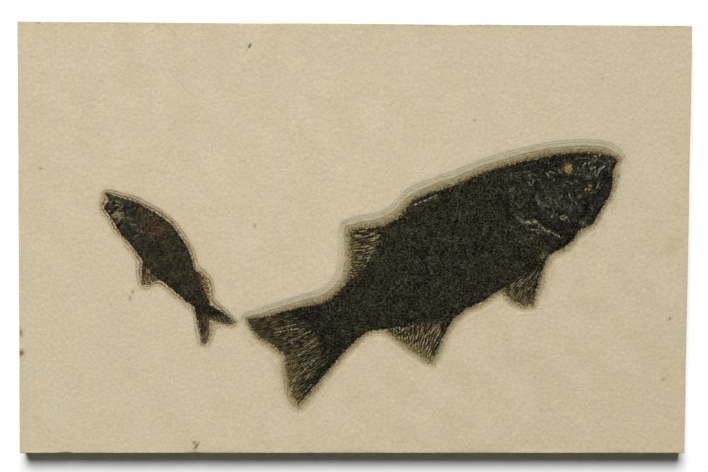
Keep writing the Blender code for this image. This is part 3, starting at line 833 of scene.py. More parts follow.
def limestone_material():
    """Buff limestone: the mesh's tones, a sandy grain, dark and pale specks, laminated sides."""
    made, tree, shader = new_material("limestone_worked")
    tone = attribute(tree, "tone", "Color")
    side, speck, worked = (attribute(tree, name) for name in ("side", "speck", "worked"))
    cloud = ranged(tree, noise(tree, 11, 4, rough=0.6), 0.3, 0.7, 0.975, 1.025)
    grain = ranged(tree, noise(tree, 2.1, 3, rough=0.6), 0.3, 0.7, 0.935, 1.065)
    fine = ranged(tree, noise(tree, 0.7, 2), 0.3, 0.7, 0.935, 1.065)
    scratched = minus(tree, noise(tree, 1.1, 3, rough=0.7), 0.5)
    scratched = times(tree, scratched, ranged(tree, worked, 0.0, 1.0, 0.0, 1.7))
    value = plus(tree, times(tree, times(tree, cloud, grain), fine), scratched)
    colour = shaded(tree, tone, value)
    lamina = ranged(tree, noise(tree, 1.1, 3, (0.02, 0.02, 1.0), 0.65), 0.38, 0.62)
    bands = mixed(tree, lamina, LAMINA_DARK, LAMINA_PALE)
    colour = mixed(tree, times(tree, side, 0.75), colour, bands)
    rust = times(tree, ranged(tree, noise(tree, 14, 4), 0.62, 0.72), side)
    colour = mixed(tree, times(tree, rust, 0.6), colour, RUST)
    dark = minus(tree, noise(tree, 0.75, 3, rough=0.65), ranged(tree, speck, 0.0, 1.0, 0.68, 0.46))
    dark = times(tree, ranged(tree, dark, 0.0, 0.04), 0.9)
    colour = mixed(tree, dark, colour, DARK_SPECK)
    pale = minus(tree, noise(tree, 1.15, 2, rough=0.6), ranged(tree, speck, 0.0, 1.0, 0.75, 0.553))
    pale = times(tree, ranged(tree, pale, 0.0, 0.05), 0.7)
    colour = mixed(tree, pale, colour, PALE_CHIP)
    reliefs = [(noise(tree, 2.4, 3), 0.33, 0.0009), (noise(tree, 0.7, 2), 0.25, 0.0004)]
    finish_shader(tree, shader, colour, (2.2, 0.82, 0.95), 0.15, reliefs)
    return made


def scattered(length, width, step):
    """A grid of plan points over the slab at a step, from one low corner."""
    gx, gy = np.meshgrid(np.arange(-length, length + 1, step), np.arange(-width, width + 1, step))
    return gx, gy


def face_points(r, face_ring, rims):
    """Loose points over the face: a staggered grid, with finer points round the small marks."""
    gx, gy = scattered(HALF_LENGTH, HALF_WIDTH, FACE_STEP)
    gx[::2] += FACE_STEP / 2
    loose = np.stack([gx.ravel(), gy.ravel()], axis=1)
    loose += r.uniform(-0.3, 0.3, loose.shape)
    span = np.arange(-2, 2.01, 0.25)
    for mx, my, half_long, half_wide, angle, _, _ in FACE_MARKS:
        if half_long > SOFT_MARK[0] and half_wide > SOFT_MARK[1]:
            continue
        u, v = np.meshgrid(span * half_long, span * half_wide)
        c, s = np.cos(np.radians(angle)), np.sin(np.radians(angle))
        spot = np.stack([mx + u * c - v * s, my + u * s + v * c], axis=-1).reshape(-1, 2)
        loose = np.vstack([loose, spot + r.uniform(-0.05, 0.05, spot.shape)])
    loose = clear_of(loose, face_ring, 0.5, True)
    for rim in rims:
        loose = clear_of(loose, rim, 0.6, False)
    return loose


def back_part(r, back_ring, rims):
    """The slab's back: nearly flat, with shallow hollows that fade out towards its edges."""
    gx, gy = scattered(HALF_LENGTH - 2, HALF_WIDTH - 2, BACK_STEP)
    loose = np.stack([gx.ravel(), gy.ravel()], axis=1) + r.uniform(-1, 1, (gx.size, 2))
    plan, faces = filled([back_ring], clear_of(loose, back_ring, 2, True))
    hollow = BACK_HOLLOW * np.clip(wander(*plan.T, 55, 8), 0, 1)
    hollow = hollow * smooth_step(gap_to(plan, back_ring), 0, 12)
    tone = linear(face_tone(*plan.T, rims) * BACK_SHADE)
    return np.column_stack([plan, hollow]), faces, {"tone": tone}


def make_slab():
    """The whole slab as one closed mesh: face, worked rings, hidden sockets, sides and back."""
    parts, rims = [], []
    for body, fins, halo in (
        (LARGE_BODY, LARGE_FINS, LARGE_HALO),
        (SMALL_BODY, SMALL_FINS, SMALL_HALO),
    ):
        edge = fish_outline(body, fins, halo["outline_step"])
        rim = halo_rim(body, halo, edge)
        edge, rim = finer(edge, HALO_FINER), finer(rim, HALO_FINER)
        band, shares = halo_band(pushed_out(edge, -HALO_TUCK), rim, halo)
        faces = grid_faces(len(edge), halo["rows"], closed_rows=True)
        parts.append((band.reshape(-1, 3), faces, shares))
        parts += socket(band[:, 0])
        rims.append(band[:, -1, :2])
    sides = slab_sides(sawn_edge(SIDE_STEP))
    points = sides.reshape(-1, 3)
    on_side = smooth_step(SLAB_THICKNESS - points[:, 2], 0.5, 1.6)
    shares = {"tone": linear(face_tone(*points[:, :2].T, rims)), "side": on_side}
    parts.append((points, grid_faces(*sides.shape[:2], closed_rows=True), shares))
    r = np.random.default_rng(2)
    face_ring = sides[:, 0, :2]
    plan, faces = filled([face_ring, *rims], face_points(r, face_ring, rims))
    face = np.column_stack([plan, face_height(*plan.T)])
    parts.append((face, faces, {"tone": linear(face_tone(*plan.T, rims))}))
    parts.append(back_part(r, sides[:, -1, :2], rims))
    return lay_mesh("limestone_slab_worked", parts, limestone_material())


slab = make_slab()
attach(slab, "root")
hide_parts("limestone_slab")

# -------------------------------------------------------------------------------------------------
# The large fish's body: carbonised bone and scale, nearly black, pressed flat in the rock and
# standing up from it in a low relief. Its head's bones, its spines and its eye still show, and its
# ragged edge laps over the worked rock.

# How a body lies, in millimetres: how far it rises at its edge, over its shoulder of this width,
# and on to its middle; how far its edge laps over the rock; the length over which its tail end
# sinks; and the spacing of its points, first in the head half and then in the rear
LARGE_SETTLE = {
    "edge_lift": 0.5,
    "rise": 1.1,
    "crown": 0.42,
    "shoulder": 4.5,
    "overlap": 0.46,
    "tail_fade": 9.0,
    "steps": (0.32, 0.5),
}
BED_GAP = 0.12  # how far the layer that a fish lies on is below the worked ring's foot
TAIL_END_LIFT = 0.1  # how far the body's tail end stands above that layer
SKIRT_DEPTH = 0.45  # how far a fish's edge goes down into the rock
BONE_TOP = 15.76  # nothing stands higher than this
HIDDEN_TONE = 0.02  # linear tone of the undersides
LARGE_BONE = (34, 31, 19)
LARGE_HEAD_BONE = (23, 22, 16)
LARGE_GLINT = (98, 94, 78)  # worn bone, and painted glints of light on it
BODY_RIM = (100, 88, 58)  # crumbs of pale rock along a body's edge
WORN, BRIGHT, CREAM, TAN = (124, 117, 96), (182, 173, 141), (182, 164, 124), (150, 134, 98)
GREY, PURPLE, BROWN, DARK = (88, 85, 73), (58, 51, 51), (80, 62, 38), (8, 8, 6)
HAIR_COLOURS = (WORN, WORN, GREY, GREY, DARK, DARK, BRIGHT)
# Bones and spines that stand up: (points along the bone, half-width, height)
LARGE_BONES = [
    ([(106, 37), (104.6, 29), (107, 21), (113, 15.2)], 1.2, 0.32),
    ([(114.5, 14.2), (121, 10.8), (129, 8.6), (136, 9.4)], 1.1, 0.3),
    ([(123.5, 37.5), (127, 29), (130.5, 21.5), (134.5, 13)], 0.9, 0.28),
    ([(152.5, 43), (146, 38), (141, 30), (138, 20.5)], 1.2, 0.32),
    ([(153, 37), (150.5, 28), (146, 19), (141, 11.5)], 1.5, 0.32),
    ([(148, 46), (140, 46.8), (131, 46.8), (122, 45)], 0.9, 0.22),
    ([(133.6, 44.4), (134.8, 40.6), (131.5, 37.2), (126.6, 37.4), (123.6, 41)], 0.7, 0.22),
    ([(97, 38), (98, 29), (101, 20), (106, 13)], 1.1, 0.24),
    ([(125, -1.2), (116, 3.2), (106, 7.2), (94, 12.4)], 0.6, 0.26),
    ([(124, -2.6), (114, 1), (104, 4.4), (92, 8)], 0.6, 0.24),
    ([(122, -4.4), (112, -1.4), (102, 1.6), (93, 4)], 0.5, 0.2),
    ([(79, 36.6), (68, 32.6), (56, 28.4), (47, 24.6)], 0.5, 0.25),
    ([(68, 30.6), (58, 26.6), (48, 22.6), (39, 19.4)], 0.5, 0.25),
    ([(56, 24.6), (48, 20.8), (41, 17.6), (35, 16)], 0.5, 0.2),
    ([(150, 42.1), (143.3, 36), (139.4, 33.7)], 0.45, 0.2),
    ([(128.3, 26.5), (131.1, 22), (133.3, 19.3)], 0.45, 0.2),
    ([(118, 37), (114, 30), (114.5, 23), (119, 17)], 0.6, 0.12),
    ([(146, 42), (138, 40.5), (134.5, 34), (133, 27)], 0.6, 0.16),
]
# Worn and stained streaks, and purple streaks that are a painted sheen on the smooth head bones:
# (colour, half-width, strength, [points along each streak or one spot])
LARGE_STREAKS = [
    # painted sheen: purple streaks where the smooth jaw and cheek bones shine
    (PURPLE, 1.3, 0.5, [[(126.1, 45.9), (129.4, 44.7)], [(146.5, 23.5), (149, 20)],
        [(131.8, 17.5), (130, 16)]]),
    (GREY, 1.3, 0.4, [[(151.5, 29.5), (150.2, 25)], [(153.4, 43.8), (151.7, 46)], [(147.5, 41)],
        [(104.4, 22.6)]]),
    (GREY, 1.6, 0.35, [[(94, 16), (95.5, 14)], [(136.6, 40), (139.6, 38)], [(121, 28), (117, 24)],
        [(126, 19)]]),
    (DARK, 1.1, 0.8, [[(152.5, 35), (151.9, 32.4), (148.3, 29.4), (145.9, 25.5), (142.3, 21.6),
        (139.3, 17.5), (137.7, 15)]]),
    (DARK, 1.5, 0.8, [
        [(109, 12.5), (113, 8), (119, 5), (127, 5), (133, 8), (138, 14.5), (140, 21)]]),
    (DARK, 1.0, 0.5, [[(91, 25), (90.6, 18), (92.6, 11.6)], [(135, 33), (136.6, 26), (139, 20.5)]]),
    ((62, 58, 44), 7.6, 0.45, [[(119.5, 22.6)]]),
    (DARK, 1.5, 0.5, [[(109, 32), (106, 24), (107, 16)], [(112, 42), (104, 39)],
        [(141, 33), (140, 27)]]),
    (DARK, 2.4, 0.6, [[(149.6, 37), (149, 27.6), (144.6, 16)], [(124, 47), (112, 45)]]),
    (DARK, 1.8, 0.6, [[(138.6, 15.2), (140.6, 14.6)], [(118.8, 7), (122.6, 4.6)], [(126, 6.5)],
        [(93, 11.5)]]),
    (DARK, 0.38, 0.8, [[(145.3, 39.3), (142.9, 37.2)], [(147.1, 39), (145.6, 37.5)],
        [(133, 18.7), (133.6, 12.9)]]),
    (DARK, 0.42, 0.75, [[(139, 34.5), (138.1, 32.4), (138.4, 30.6), (138, 29.4)],
        [(156.1, 43.2), (154.9, 42.3)]]),
    (DARK, 0.51, 0.75, [[(143.2, 40.1)], [(138.8, 42.5)], [(140.8, 42.9)],
        [(145.8, 47.6), (147.8, 47.2)], [(151.6, 43.2)], [(157.4, 44.7)], [(134.2, 11.2)],
        [(139, 10)], [(141.7, 8.5)], [(107, 23.6)], [(122.8, 11.9)]]),
    (DARK, 0.42, 0.7, [[(115.4, 39.4), (117.2, 40.2), (120, 39.9)], [(111, 32.7), (113, 33.5)],
        [(114.3, 32.5)]]),
    (DARK, 0.38, 0.7, [[(106, 42.6), (106.9, 42), (107.8, 44.1), (108.1, 45.3)],
        [(101.2, 40.2), (104.5, 40.2)], [(96, 28.8), (98.8, 28.8)], [(100.3, 25.8), (102.1, 25.8)],
        [(96.4, 40), (98.8, 40.7)]]),
    (DARK, 0.51, 0.7, [[(95.4, 23.4), (95.4, 17.5)], [(107.5, 20.8), (109.4, 18.6)],
        [(114.1, 12.4), (114.8, 9.8)]]),
    (DARK, 0.8, 0.8, [[(108.1, 26.4), (108.4, 25.5)], [(120.3, 10.6), (122.1, 10.6)],
        [(113, 48.2), (117.7, 48.2)]]),
    (DARK, 0.9, 0.5, [[(91, 41.6), (94, 43.3), (103, 44.6), (105, 46)],
        [(129.6, 47.6), (124, 47.4), (119, 46.4)]]),
    (BROWN, 0.9, 0.6, [[(129.1, 37.4), (127.4, 37.8)], [(125.6, 40.5)], [(141.7, 28.5)],
        [(139.6, 29.4)], [(152, 47.2)]]),
    (TAN, 1.6, 0.6, [[(136, 9), (138.6, 6.6), (140.2, 5.4)], [(114.5, -9.3), (112.4, -12)]]),
    (WORN, 0.34, 0.6, [[(131.8, 46.2), (133.9, 47.1), (138, 47.5), (141, 46.8)],
        [(144.7, 46.4), (146.5, 46.2), (148.9, 45.6)]]),
    (BRIGHT, 0.31, 0.9, [
        [(149.8, 42.6), (148.3, 41.4), (146.8, 39.6), (145.3, 38.1), (144.1, 36.6)]]),
    (BRIGHT, 0.31, 0.8, [[(137.2, 43.2), (138, 43.9), (139.3, 44.4), (140.8, 44.7)],
        [(141.7, 40.2), (142.9, 41.7), (144.4, 41.6)]]),
    (BRIGHT, 0.26, 0.7, [[(141.1, 41.4), (142.3, 42.3)],
        [(144.7, 40.2), (143.8, 38.7), (142.4, 37.2)], [(133.9, 42.3), (134, 40.5)]]),
    (CREAM, 0.8, 0.75, [[(144.1, 48.6)], [(146.8, 49)], [(141.4, 31), (140.9, 28.6)],
        [(138.5, 28.6)], [(107.6, 47), (109.3, 47.4)]]),
    (WORN, 0.7, 0.7, [[(134.6, 37.8)], [(132.7, 38.1)], [(140.8, 36), (138.8, 36.4)],
        [(149.2, 20.8)], [(141.4, 19), (142.6, 16.4)]]),
    (BRIGHT, 0.38, 0.75, [[(128.5, 25.5), (130.6, 21.6)], [(132.4, 21), (133.3, 19.5)],
        [(134.2, 24.9), (133.3, 23.4)]]),
    (BRIGHT, 0.47, 0.7, [[(134, 17.2), (134.8, 15.7)], [(104.5, 32.7), (105.5, 31.1)],
        [(92.9, 27.8)], [(119.8, 34.5)]]),
    (BRIGHT, 0.34, 0.75, [[(116.4, 36), (115.5, 38), (117.5, 39.3), (119.3, 38.6)], [(116.8, 44.4)],
        [(125.3, 31), (126.6, 31.4)]]),
    (WORN, 0.38, 0.75, [[(122.5, 23.8), (124.3, 24.5)], [(107.8, 28.6), (106.9, 26.5)],
        [(101.5, 39), (105.1, 39.4)]]),
    (WORN, 1.2, 0.65, [[(109.6, 24.4), (110, 21), (112.5, 18.5)]]),
    (WORN, 0.51, 0.7, [[(106.3, 20.3)], [(93.8, 38.1), (94, 35.7)], [(96.8, 37.2)], [(99, 33.4)],
        [(101.6, 30.2)], [(120, 21.4)]]),
    (WORN, 0.38, 0.8, [[(104.6, 36.6), (106, 37.8), (107.5, 37.5), (108.7, 37)],
        [(124.5, 39.6), (123.4, 40.7), (122.3, 39.6), (123.4, 38.5), (124.5, 39.6)]]),
    (BRIGHT, 0.34, 0.7, [[(117.6, 12), (119.3, 13.5)], [(119.6, 15.5)], [(121.1, 13.5)],
        [(127.2, 12), (125.2, 12.9), (123.2, 12), (125.2, 11), (127.2, 12)]]),
    (WORN, 0.42, 0.8, [[(114.1, 19), (116.3, 18.2)], [(114.7, 15.6)], [(98.8, -2.9)], [(97, 1.9)],
        [(93.5, 6.6), (95.5, 6.2)], [(93.5, 4.6)]]),
    (WORN, 1.1, 0.7, [[(98, 11.5), (101, 9), (104, 8.8), (108, 9.2), (110, 7.6), (111.9, 5.8)],
        [(102.1, -0.7)], [(106.1, -0.7)]]),
    (BRIGHT, 0.8, 0.6, [[(103.3, 9.1), (104.3, 9)], [(107.4, 9.4), (108.4, 9.3)]]),
    (BRIGHT, 0.36, 0.9, [
        [(111.9, 5.8), (115.6, 3.7), (118.1, 2.8), (120.7, 1.5), (122.1, 0.7), (123.2, -0.7)]]),
    (WORN, 0.34, 0.8, [[(113.4, 4), (115.2, 2.6), (117, 1.8)],
        [(111.1, 3.5), (109.9, 4.7), (108.7, 3.5), (109.9, 2.3), (111.1, 3.5)]]),
    (CREAM, 0.34, 0.6, [[(109.3, 47.1), (111, 48.1), (115, 48.9), (118.9, 48.9)],
        [(62.8, 32.6), (56.4, 30.4), (50.4, 28.3)]]),
    (DARK, 0.34, 0.8, [[(62.8, 31.2), (55.6, 28.7), (48.9, 26), (44.4, 24.3), (37.5, 21.7)]]),
    (DARK, 0.5, 0.7, [[(110.4, 32), (107.4, 25), (108, 18.6), (112, 12.6)],
        [(125, 34), (129, 27.6), (131.4, 21), (134.8, 14.4)]]),
    ((46, 45, 46), 2.0, 0.5, [[(151, 32.4), (150, 26), (147, 19.4)]]),
    (WORN, 0.32, 0.6, [[(29, -50.8), (28.2, -53)], [(33, -50.8), (32, -53.6)],
        [(37.4, -50), (36, -53.8)], [(41, -49.8), (39.6, -53.6)], [(45, -49.6), (43.6, -53)],
        [(48.6, -49.8), (47, -53.4)], [(50.6, -51), (49.4, -53.4)], [(35, -51.6), (34, -53.8)]]),
    (BRIGHT, 0.3, 0.85, [[(42, 21.9), (39, 20.7), (36.2, 19.4)], [(46.4, 22.8), (42.6, 21)],
        [(49.3, 25.1), (45, 23.2), (40.8, 21.3)], [(48.4, 23.6), (43.9, 21.3)], [(36.7, 19.7)]]),
    (DARK, 0.3, 0.8, [[(48.9, 24.6), (42.1, 20.8)], [(46.6, 23), (44.8, 21.2)], [(38.9, 18.6)],
        [(55.4, 26.2)], [(63.7, 22.8)]]),
    (CREAM, 0.47, 0.5, [[(28.6, 13.4)], [(30.4, 16)], [(31.9, 18.2)], [(29.9, 14.4)],
        [(33.2, 19.2)], [(27.6, 11.8)], [(63.1, 31)]]),
    (CREAM, 0.51, 0.45, [[(12.4, -6), (9.6, -10.2), (7.6, -14.4), (5.6, -18.4)], [(75, -38.6)],
        [(62.7, -45)], [(64.8, -43)]]),
    (TAN, 0.7, 0.55, [[(79.6, -37.9)], [(81.6, -36)], [(85, -33.9)], [(60.7, -48)], [(64.9, 32)],
        [(78, 35.7)], [(31, 11.6)]]),
    (DARK, 0.38, 0.7, [[(113.3, -18.3), (110.2, -29.9)],
        [(58.2, -50.4), (55.1, -55.1), (52.4, -59.8)], [(49.9, -66.6), (48.7, -69.3)]]),
    (DARK, 1.6, 0.4, [[(108.5, -15), (106.5, -17.5)], [(-38, -47.6), (-30, -48), (-22, -46.4)]]),
    (WORN, 0.34, 0.75, [[(109.7, -18.6), (106.5, -22.5)], [(103.9, -24.4), (100.5, -27.8)],
        [(108.6, -23), (107.6, -25.1)], [(111.8, -21.5), (109.9, -27.2)],
        [(96.5, -30.9), (93.4, -34.6)], [(99.2, -24.1), (97.6, -25.1)],
        [(106.5, -35.6), (104.4, -39.3)], [(102.8, -32.5)], [(52.6, -57.1), (49.3, -64.5)],
        [(51.6, -51.1), (48.9, -55.1)]]),
    (WORN, 0.34, 0.7, [[(48.6, -52.4), (45.9, -55.1)], [(43.9, -58.5)], [(49.3, -57.8)],
        [(-30.4, -54.8), (-43.5, -61)]]),
    (BRIGHT, 0.32, 0.66, [[(-26.5, -56.4), (-38.8, -62.5)], [(-33.5, -54.8), (-48.1, -57.2)],
        [(-35.8, -52.5), (-48.1, -55.6)], [(-22.7, -61), (-30.4, -65.6)],
        [(-21.2, -63.3), (-34.2, -71)], [(-21.2, -71.8), (-24.2, -73.3), (-31.9, -77.2)],
        [(-24.2, -74.1), (-37.3, -86.4)], [(-25.8, -81), (-28.8, -84.1)],
        [(-26.5, -88.7), (-30.4, -93.3)]]),
]
# Where the head's hair-fine lines lie: (x, y, reach across and up, angle, spread of angle, count)
LARGE_HAIR_AREAS = [
    (141, 35, 9, 11, 50, 14, 48),
    (148, 44, 7, 4, 42, 22, 20),
    (119, 41, 16, 6, 165, 35, 34),
    (117, 26, 13, 9, 120, 32, 50),
    (133, 18, 8, 9, 75, 35, 28),
    (112, 8, 16, 7, 152, 24, 40),
    (100, 30, 8, 12, 110, 40, 26),
]
# The eye's pale ball and its pupil: (centre, half-width and half-height, strength, colour)
LARGE_EYE = [
    ((128.0, 41.2), (2.7, 2.7), 1.0, (150, 138, 70)),
    ((131.9, 41.9), (1.1, 0.9), 0.9, (26, 18, 10)),
]


def bed_height(halo):
    """Height of the layer that a fish lies on, a little below the foot of its worked ring."""
    return SLAB_THICKNESS - FACE_DROP - halo["depth"] - BED_GAP


def eased(gap, width):
    """A quick rise from an edge: 1 - e^(-gap/width)."""
    return 1 - np.exp(-gap / width)


def near_line(spot, line, margin):
    """True for each point in the square round a line, widened by a margin."""
    return np.abs(spot - line.mean(axis=0)).max(axis=1) < np.ptp(line, axis=0).max() / 2 + margin


def ridge(x, y, bones):
    """Height added by bones: h e^(-(d/w)^2) at a distance d from each line, fading at its ends."""
    spot, total = np.stack([x, y], axis=-1).reshape(-1, 2), np.zeros(x.size)
    for points, half_width, height in bones:
        line = curve(points, np.linspace(0, len(points) - 1, 24))
        near = near_line(spot, line, 4 * half_width)
        feet, index = foot_points(spot[near], line, closed=False)
        d = np.linalg.norm(spot[near] - feet, axis=1)
        taper = np.sqrt(np.sin(np.pi * np.clip((index + 0.5) / 23, 0.04, 0.96)))
        total[near] = np.maximum(total[near], height * taper * np.exp(-((d / half_width) ** 2)))
    return total.reshape(x.shape)


def streaked(tone, x, y, streaks, seed):
    """A tone with streaks over it, and how much each point is covered by them.

    Each mixes in its colour by strength e^(-(d/w)^4), d from its line, ragged and broken by noise.
    """
    spot, flat = np.stack([x, y], axis=-1).reshape(-1, 2), tone.reshape(-1, 3).copy()
    px, py = spot[:, 0], spot[:, 1]
    ragged = 1 + 0.3 * wander(px, py, 1.5, seed) + 0.15 * wander(px, py, 0.9, seed + 1)
    broken = np.clip(0.85 + 0.35 * wander(px, py, 2.2, seed + 2), 0, 1)
    covered = np.zeros(len(spot))
    for colour, half_width, strength, lines in streaks:
        for points in lines:
            line = np.array(points * 2)
            if len(points) > 1:
                line = curve(points, np.linspace(0, len(points) - 1, 16))
            near = near_line(spot, line, 3 * half_width)
            if near.any():
                d = gap_to(spot[near], line, closed=False) * ragged[near] / half_width
                hit = strength * broken[near] * np.exp(-(d**4))
                covered[near] = np.maximum(covered[near], hit)
                flat[near] = blended(flat[near], colour, hit)
    return flat.reshape(tone.shape), covered.reshape(x.shape)


def hair_lines(areas, seed):
    """Hair-fine bones and cracks as streaks: short random arcs that keep near their area's angle.

    Each is p + t (along) + 4 t^2 bend (across) for t from -1/2 to 1/2, pale or dark.
    """
    r, share = np.random.default_rng(seed), np.linspace(-0.5, 0.5, 5)[:, None]
    found = []
    for x, y, across, up, angle, spread, count in areas:
        for _ in range(count):
            middle = np.array((x + across * r.uniform(-1, 1), y + up * r.uniform(-1, 1)))
            turn, length = np.radians(angle + spread * r.normal()), r.uniform(1.6, 6)
            along = length * np.array((np.cos(turn), np.sin(turn)))
            bend = length * r.uniform(-0.2, 0.2) * np.array((-np.sin(turn), np.cos(turn)))
            colour = HAIR_COLOURS[r.integers(len(HAIR_COLOURS))]
            line = [tuple(p) for p in middle + share * along + 4 * share**2 * bend]
            found.append((colour, r.uniform(0.24, 0.34), r.uniform(0.2, 0.75), [line]))
    return found


def body_plan(body, s, t, throat, overlap, seed):
    """Plan point of a body at station s and share t, straight between back, spine and belly.

    t is 0 on the back, 1/2 on the spine and 1 on the belly. The back and belly are carried out
    over the rock by a ragged overlap. Over the first throat stations the spine runs straight from
    the mouth's corner.
    """
    back, belly = body_side(body, 0, s), body_side(body, 1, s)
    spine = (back + belly) / 2
    if throat:
        corner = np.array(body[0][0], float)
        inner = (np.array(body[throat][0]) + body[throat][1]) / 2
        straight = corner + (inner - corner) * (s / throat)[..., None]
        spine = np.where((s < throat)[..., None], straight, spine)
    across = belly - back
    depth = np.linalg.norm(across, axis=-1, keepdims=True)
    out = (1 - np.exp(-depth / 2)) * across / np.maximum(depth, 1e-6)

    def ragged(edge):
        """How far an edge is carried out: the overlap times a coarse and a fine wander."""
        x, y = edge[..., 0], edge[..., 1]
        wave = 1 + 0.6 * wander(x, y, 1.3, seed, 30) + 0.6 * wander(x, y, 4.5, seed + 1)
        return overlap * np.clip(wave, -0.3, 2.4)[..., None]

    back, belly, t = back - ragged(back) * out, belly + ragged(belly) * out, t[..., None]
    return np.where(t < 0.5, back + (spine - back) * 2 * t, spine + (belly - spine) * (2 * t - 1))


def head_stations(body, step, rear_step):
    """Stations along a body, its spine points a step apart in the head half and wider behind."""
    s = np.linspace(0, len(body) - 1, 2000)
    spine = (body_side(body, 0, s) + body_side(body, 1, s)) / 2
    run = np.linalg.norm(np.diff(spine, axis=0), axis=1)
    spacing = step + (rear_step - step) * smooth_step(s[1:] / s[-1], 0.36, 0.5)
    count = np.concatenate([[0], np.cumsum(run / spacing)])
    return np.interp(np.linspace(0, count[-1], round(count[-1])), count, s), run.sum()


def body_surface(body, halo, settle, bones, across, throat, seed):
    """A body as a grid of plan points (station, share), with their gap to the outline and height.

    Height: the layer it lies on, plus the edge's quick rise and the shoulder's, each
    1 - e^(-gap/width), a low crown, the bones, and a crumpled unevenness. The edge stays low and
    ragged.
    """
    stations, length = head_stations(body, *settle["steps"])
    even = np.linspace(0, 1, across)
    share = 0.6 * even + 0.4 * (0.5 - 0.5 * np.cos(np.pi * even))
    s, t = np.meshgrid(stations, share, indexing="ij")
    plan = body_plan(body, s, t, throat, settle["overlap"], seed + 5)
    edge = np.vstack([plan[::-1, 0], plan[:, -1]])[:: max(1, len(plan) // 450)]
    x, y = plan[..., 0], plan[..., 1]
    gap = gap_to(plan.reshape(-1, 2), edge, closed=False).reshape(x.shape)
    half = np.linalg.norm(np.subtract(*np.array(body[len(body) // 2], float))) / 2
    lift = settle["edge_lift"] * eased(gap, 0.8) + settle["rise"] * eased(gap, settle["shoulder"])
    lift = lift + settle["crown"] * np.clip(gap / half, 0, 1)
    sunk = smooth_step((1 - s / s.max()) * length, -1.0, settle["tail_fade"])
    z = bed_height(halo) + TAIL_END_LIFT + (lift - TAIL_END_LIFT) * sunk
    ragged = 0.17 * wander(x, y, 1.4, seed, 24) + 0.1 * wander(x, y, 3.5, seed + 1)
    crumple = 0.03 * wander(x, y, 2.2, seed + 2, 20) + 0.04 * wander(x, y, 6, seed + 3)
    crumple = crumple + 0.05 * wander(x, y, 15, seed + 4)
    z = z + ragged * np.exp(-gap / 1.5) + (crumple + ridge(x, y, bones)) * eased(gap, 1.5)
    return plan, gap, np.minimum(z, BONE_TOP)


def closed_relief(name, plan, z, shares, material):
    """A grid of points closed below: a skirt from its border into the rock, and a flat underside.

    The underside is a strip of triangles between the two halves of the border.
    """
    top = np.dstack([plan, z])
    border = np.vstack([top[0, :-1], top[:-1, -1], top[-1, :0:-1], top[:0:-1, 0]])
    border = apart(snapped(border), 1e-4)
    low = border[:, 2].min() - SKIRT_DEPTH
    foot = np.column_stack([border[:, :2], np.full(len(border), low)])
    skirt = np.stack([border, foot], axis=1).reshape(-1, 3)
    one = np.arange((len(foot) - 1) // 2)
    other = len(foot) - 1 - one
    under = [np.stack([one, one + 1, other], axis=1), np.stack([one + 1, other - 1, other], axis=1)]
    parts = [
        (top.reshape(-1, 3), grid_faces(*z.shape), shares),
        (skirt, grid_faces(len(border), 2, closed_rows=True), {"tone": skirt * 0 + HIDDEN_TONE}),
        (foot, np.vstack(under), {"tone": foot * 0 + HIDDEN_TONE}),
    ]
    return lay_mesh(name, parts, material)


def turned_noise(tree, size_mm, angle, stretch):
    """Noise drawn out along a direction in plan: grains size_mm wide and stretch times as long."""
    place = node(tree, "ShaderNodeTexCoord").outputs["Object"]
    turn = {"Vector": place, "Rotation": (0, 0, np.radians(angle))}
    turned = node(tree, "ShaderNodeMapping", turn).outputs[0]
    draw = {"Vector": turned, "Scale": (1 / stretch, 1, 1)}
    drawn = node(tree, "ShaderNodeMapping", draw).outputs[0]
    inputs = {"Vector": drawn, "Scale": 1000 / size_mm, "Detail": 2.0}
    return node(tree, "ShaderNodeTexNoise", inputs).outputs["Fac"]


def thread(tree, value, width):
    """1 on the thin curling lines where a noise passes its middle value, 0 away from them."""
    off = maths(tree, "ABSOLUTE", minus(tree, value, 0.5))
    return ranged(tree, off, 0.0, width, 1.0, 0.0)


def larger(tree, a, b):
    """The larger of two values."""
    return maths(tree, "MAXIMUM", a, b)


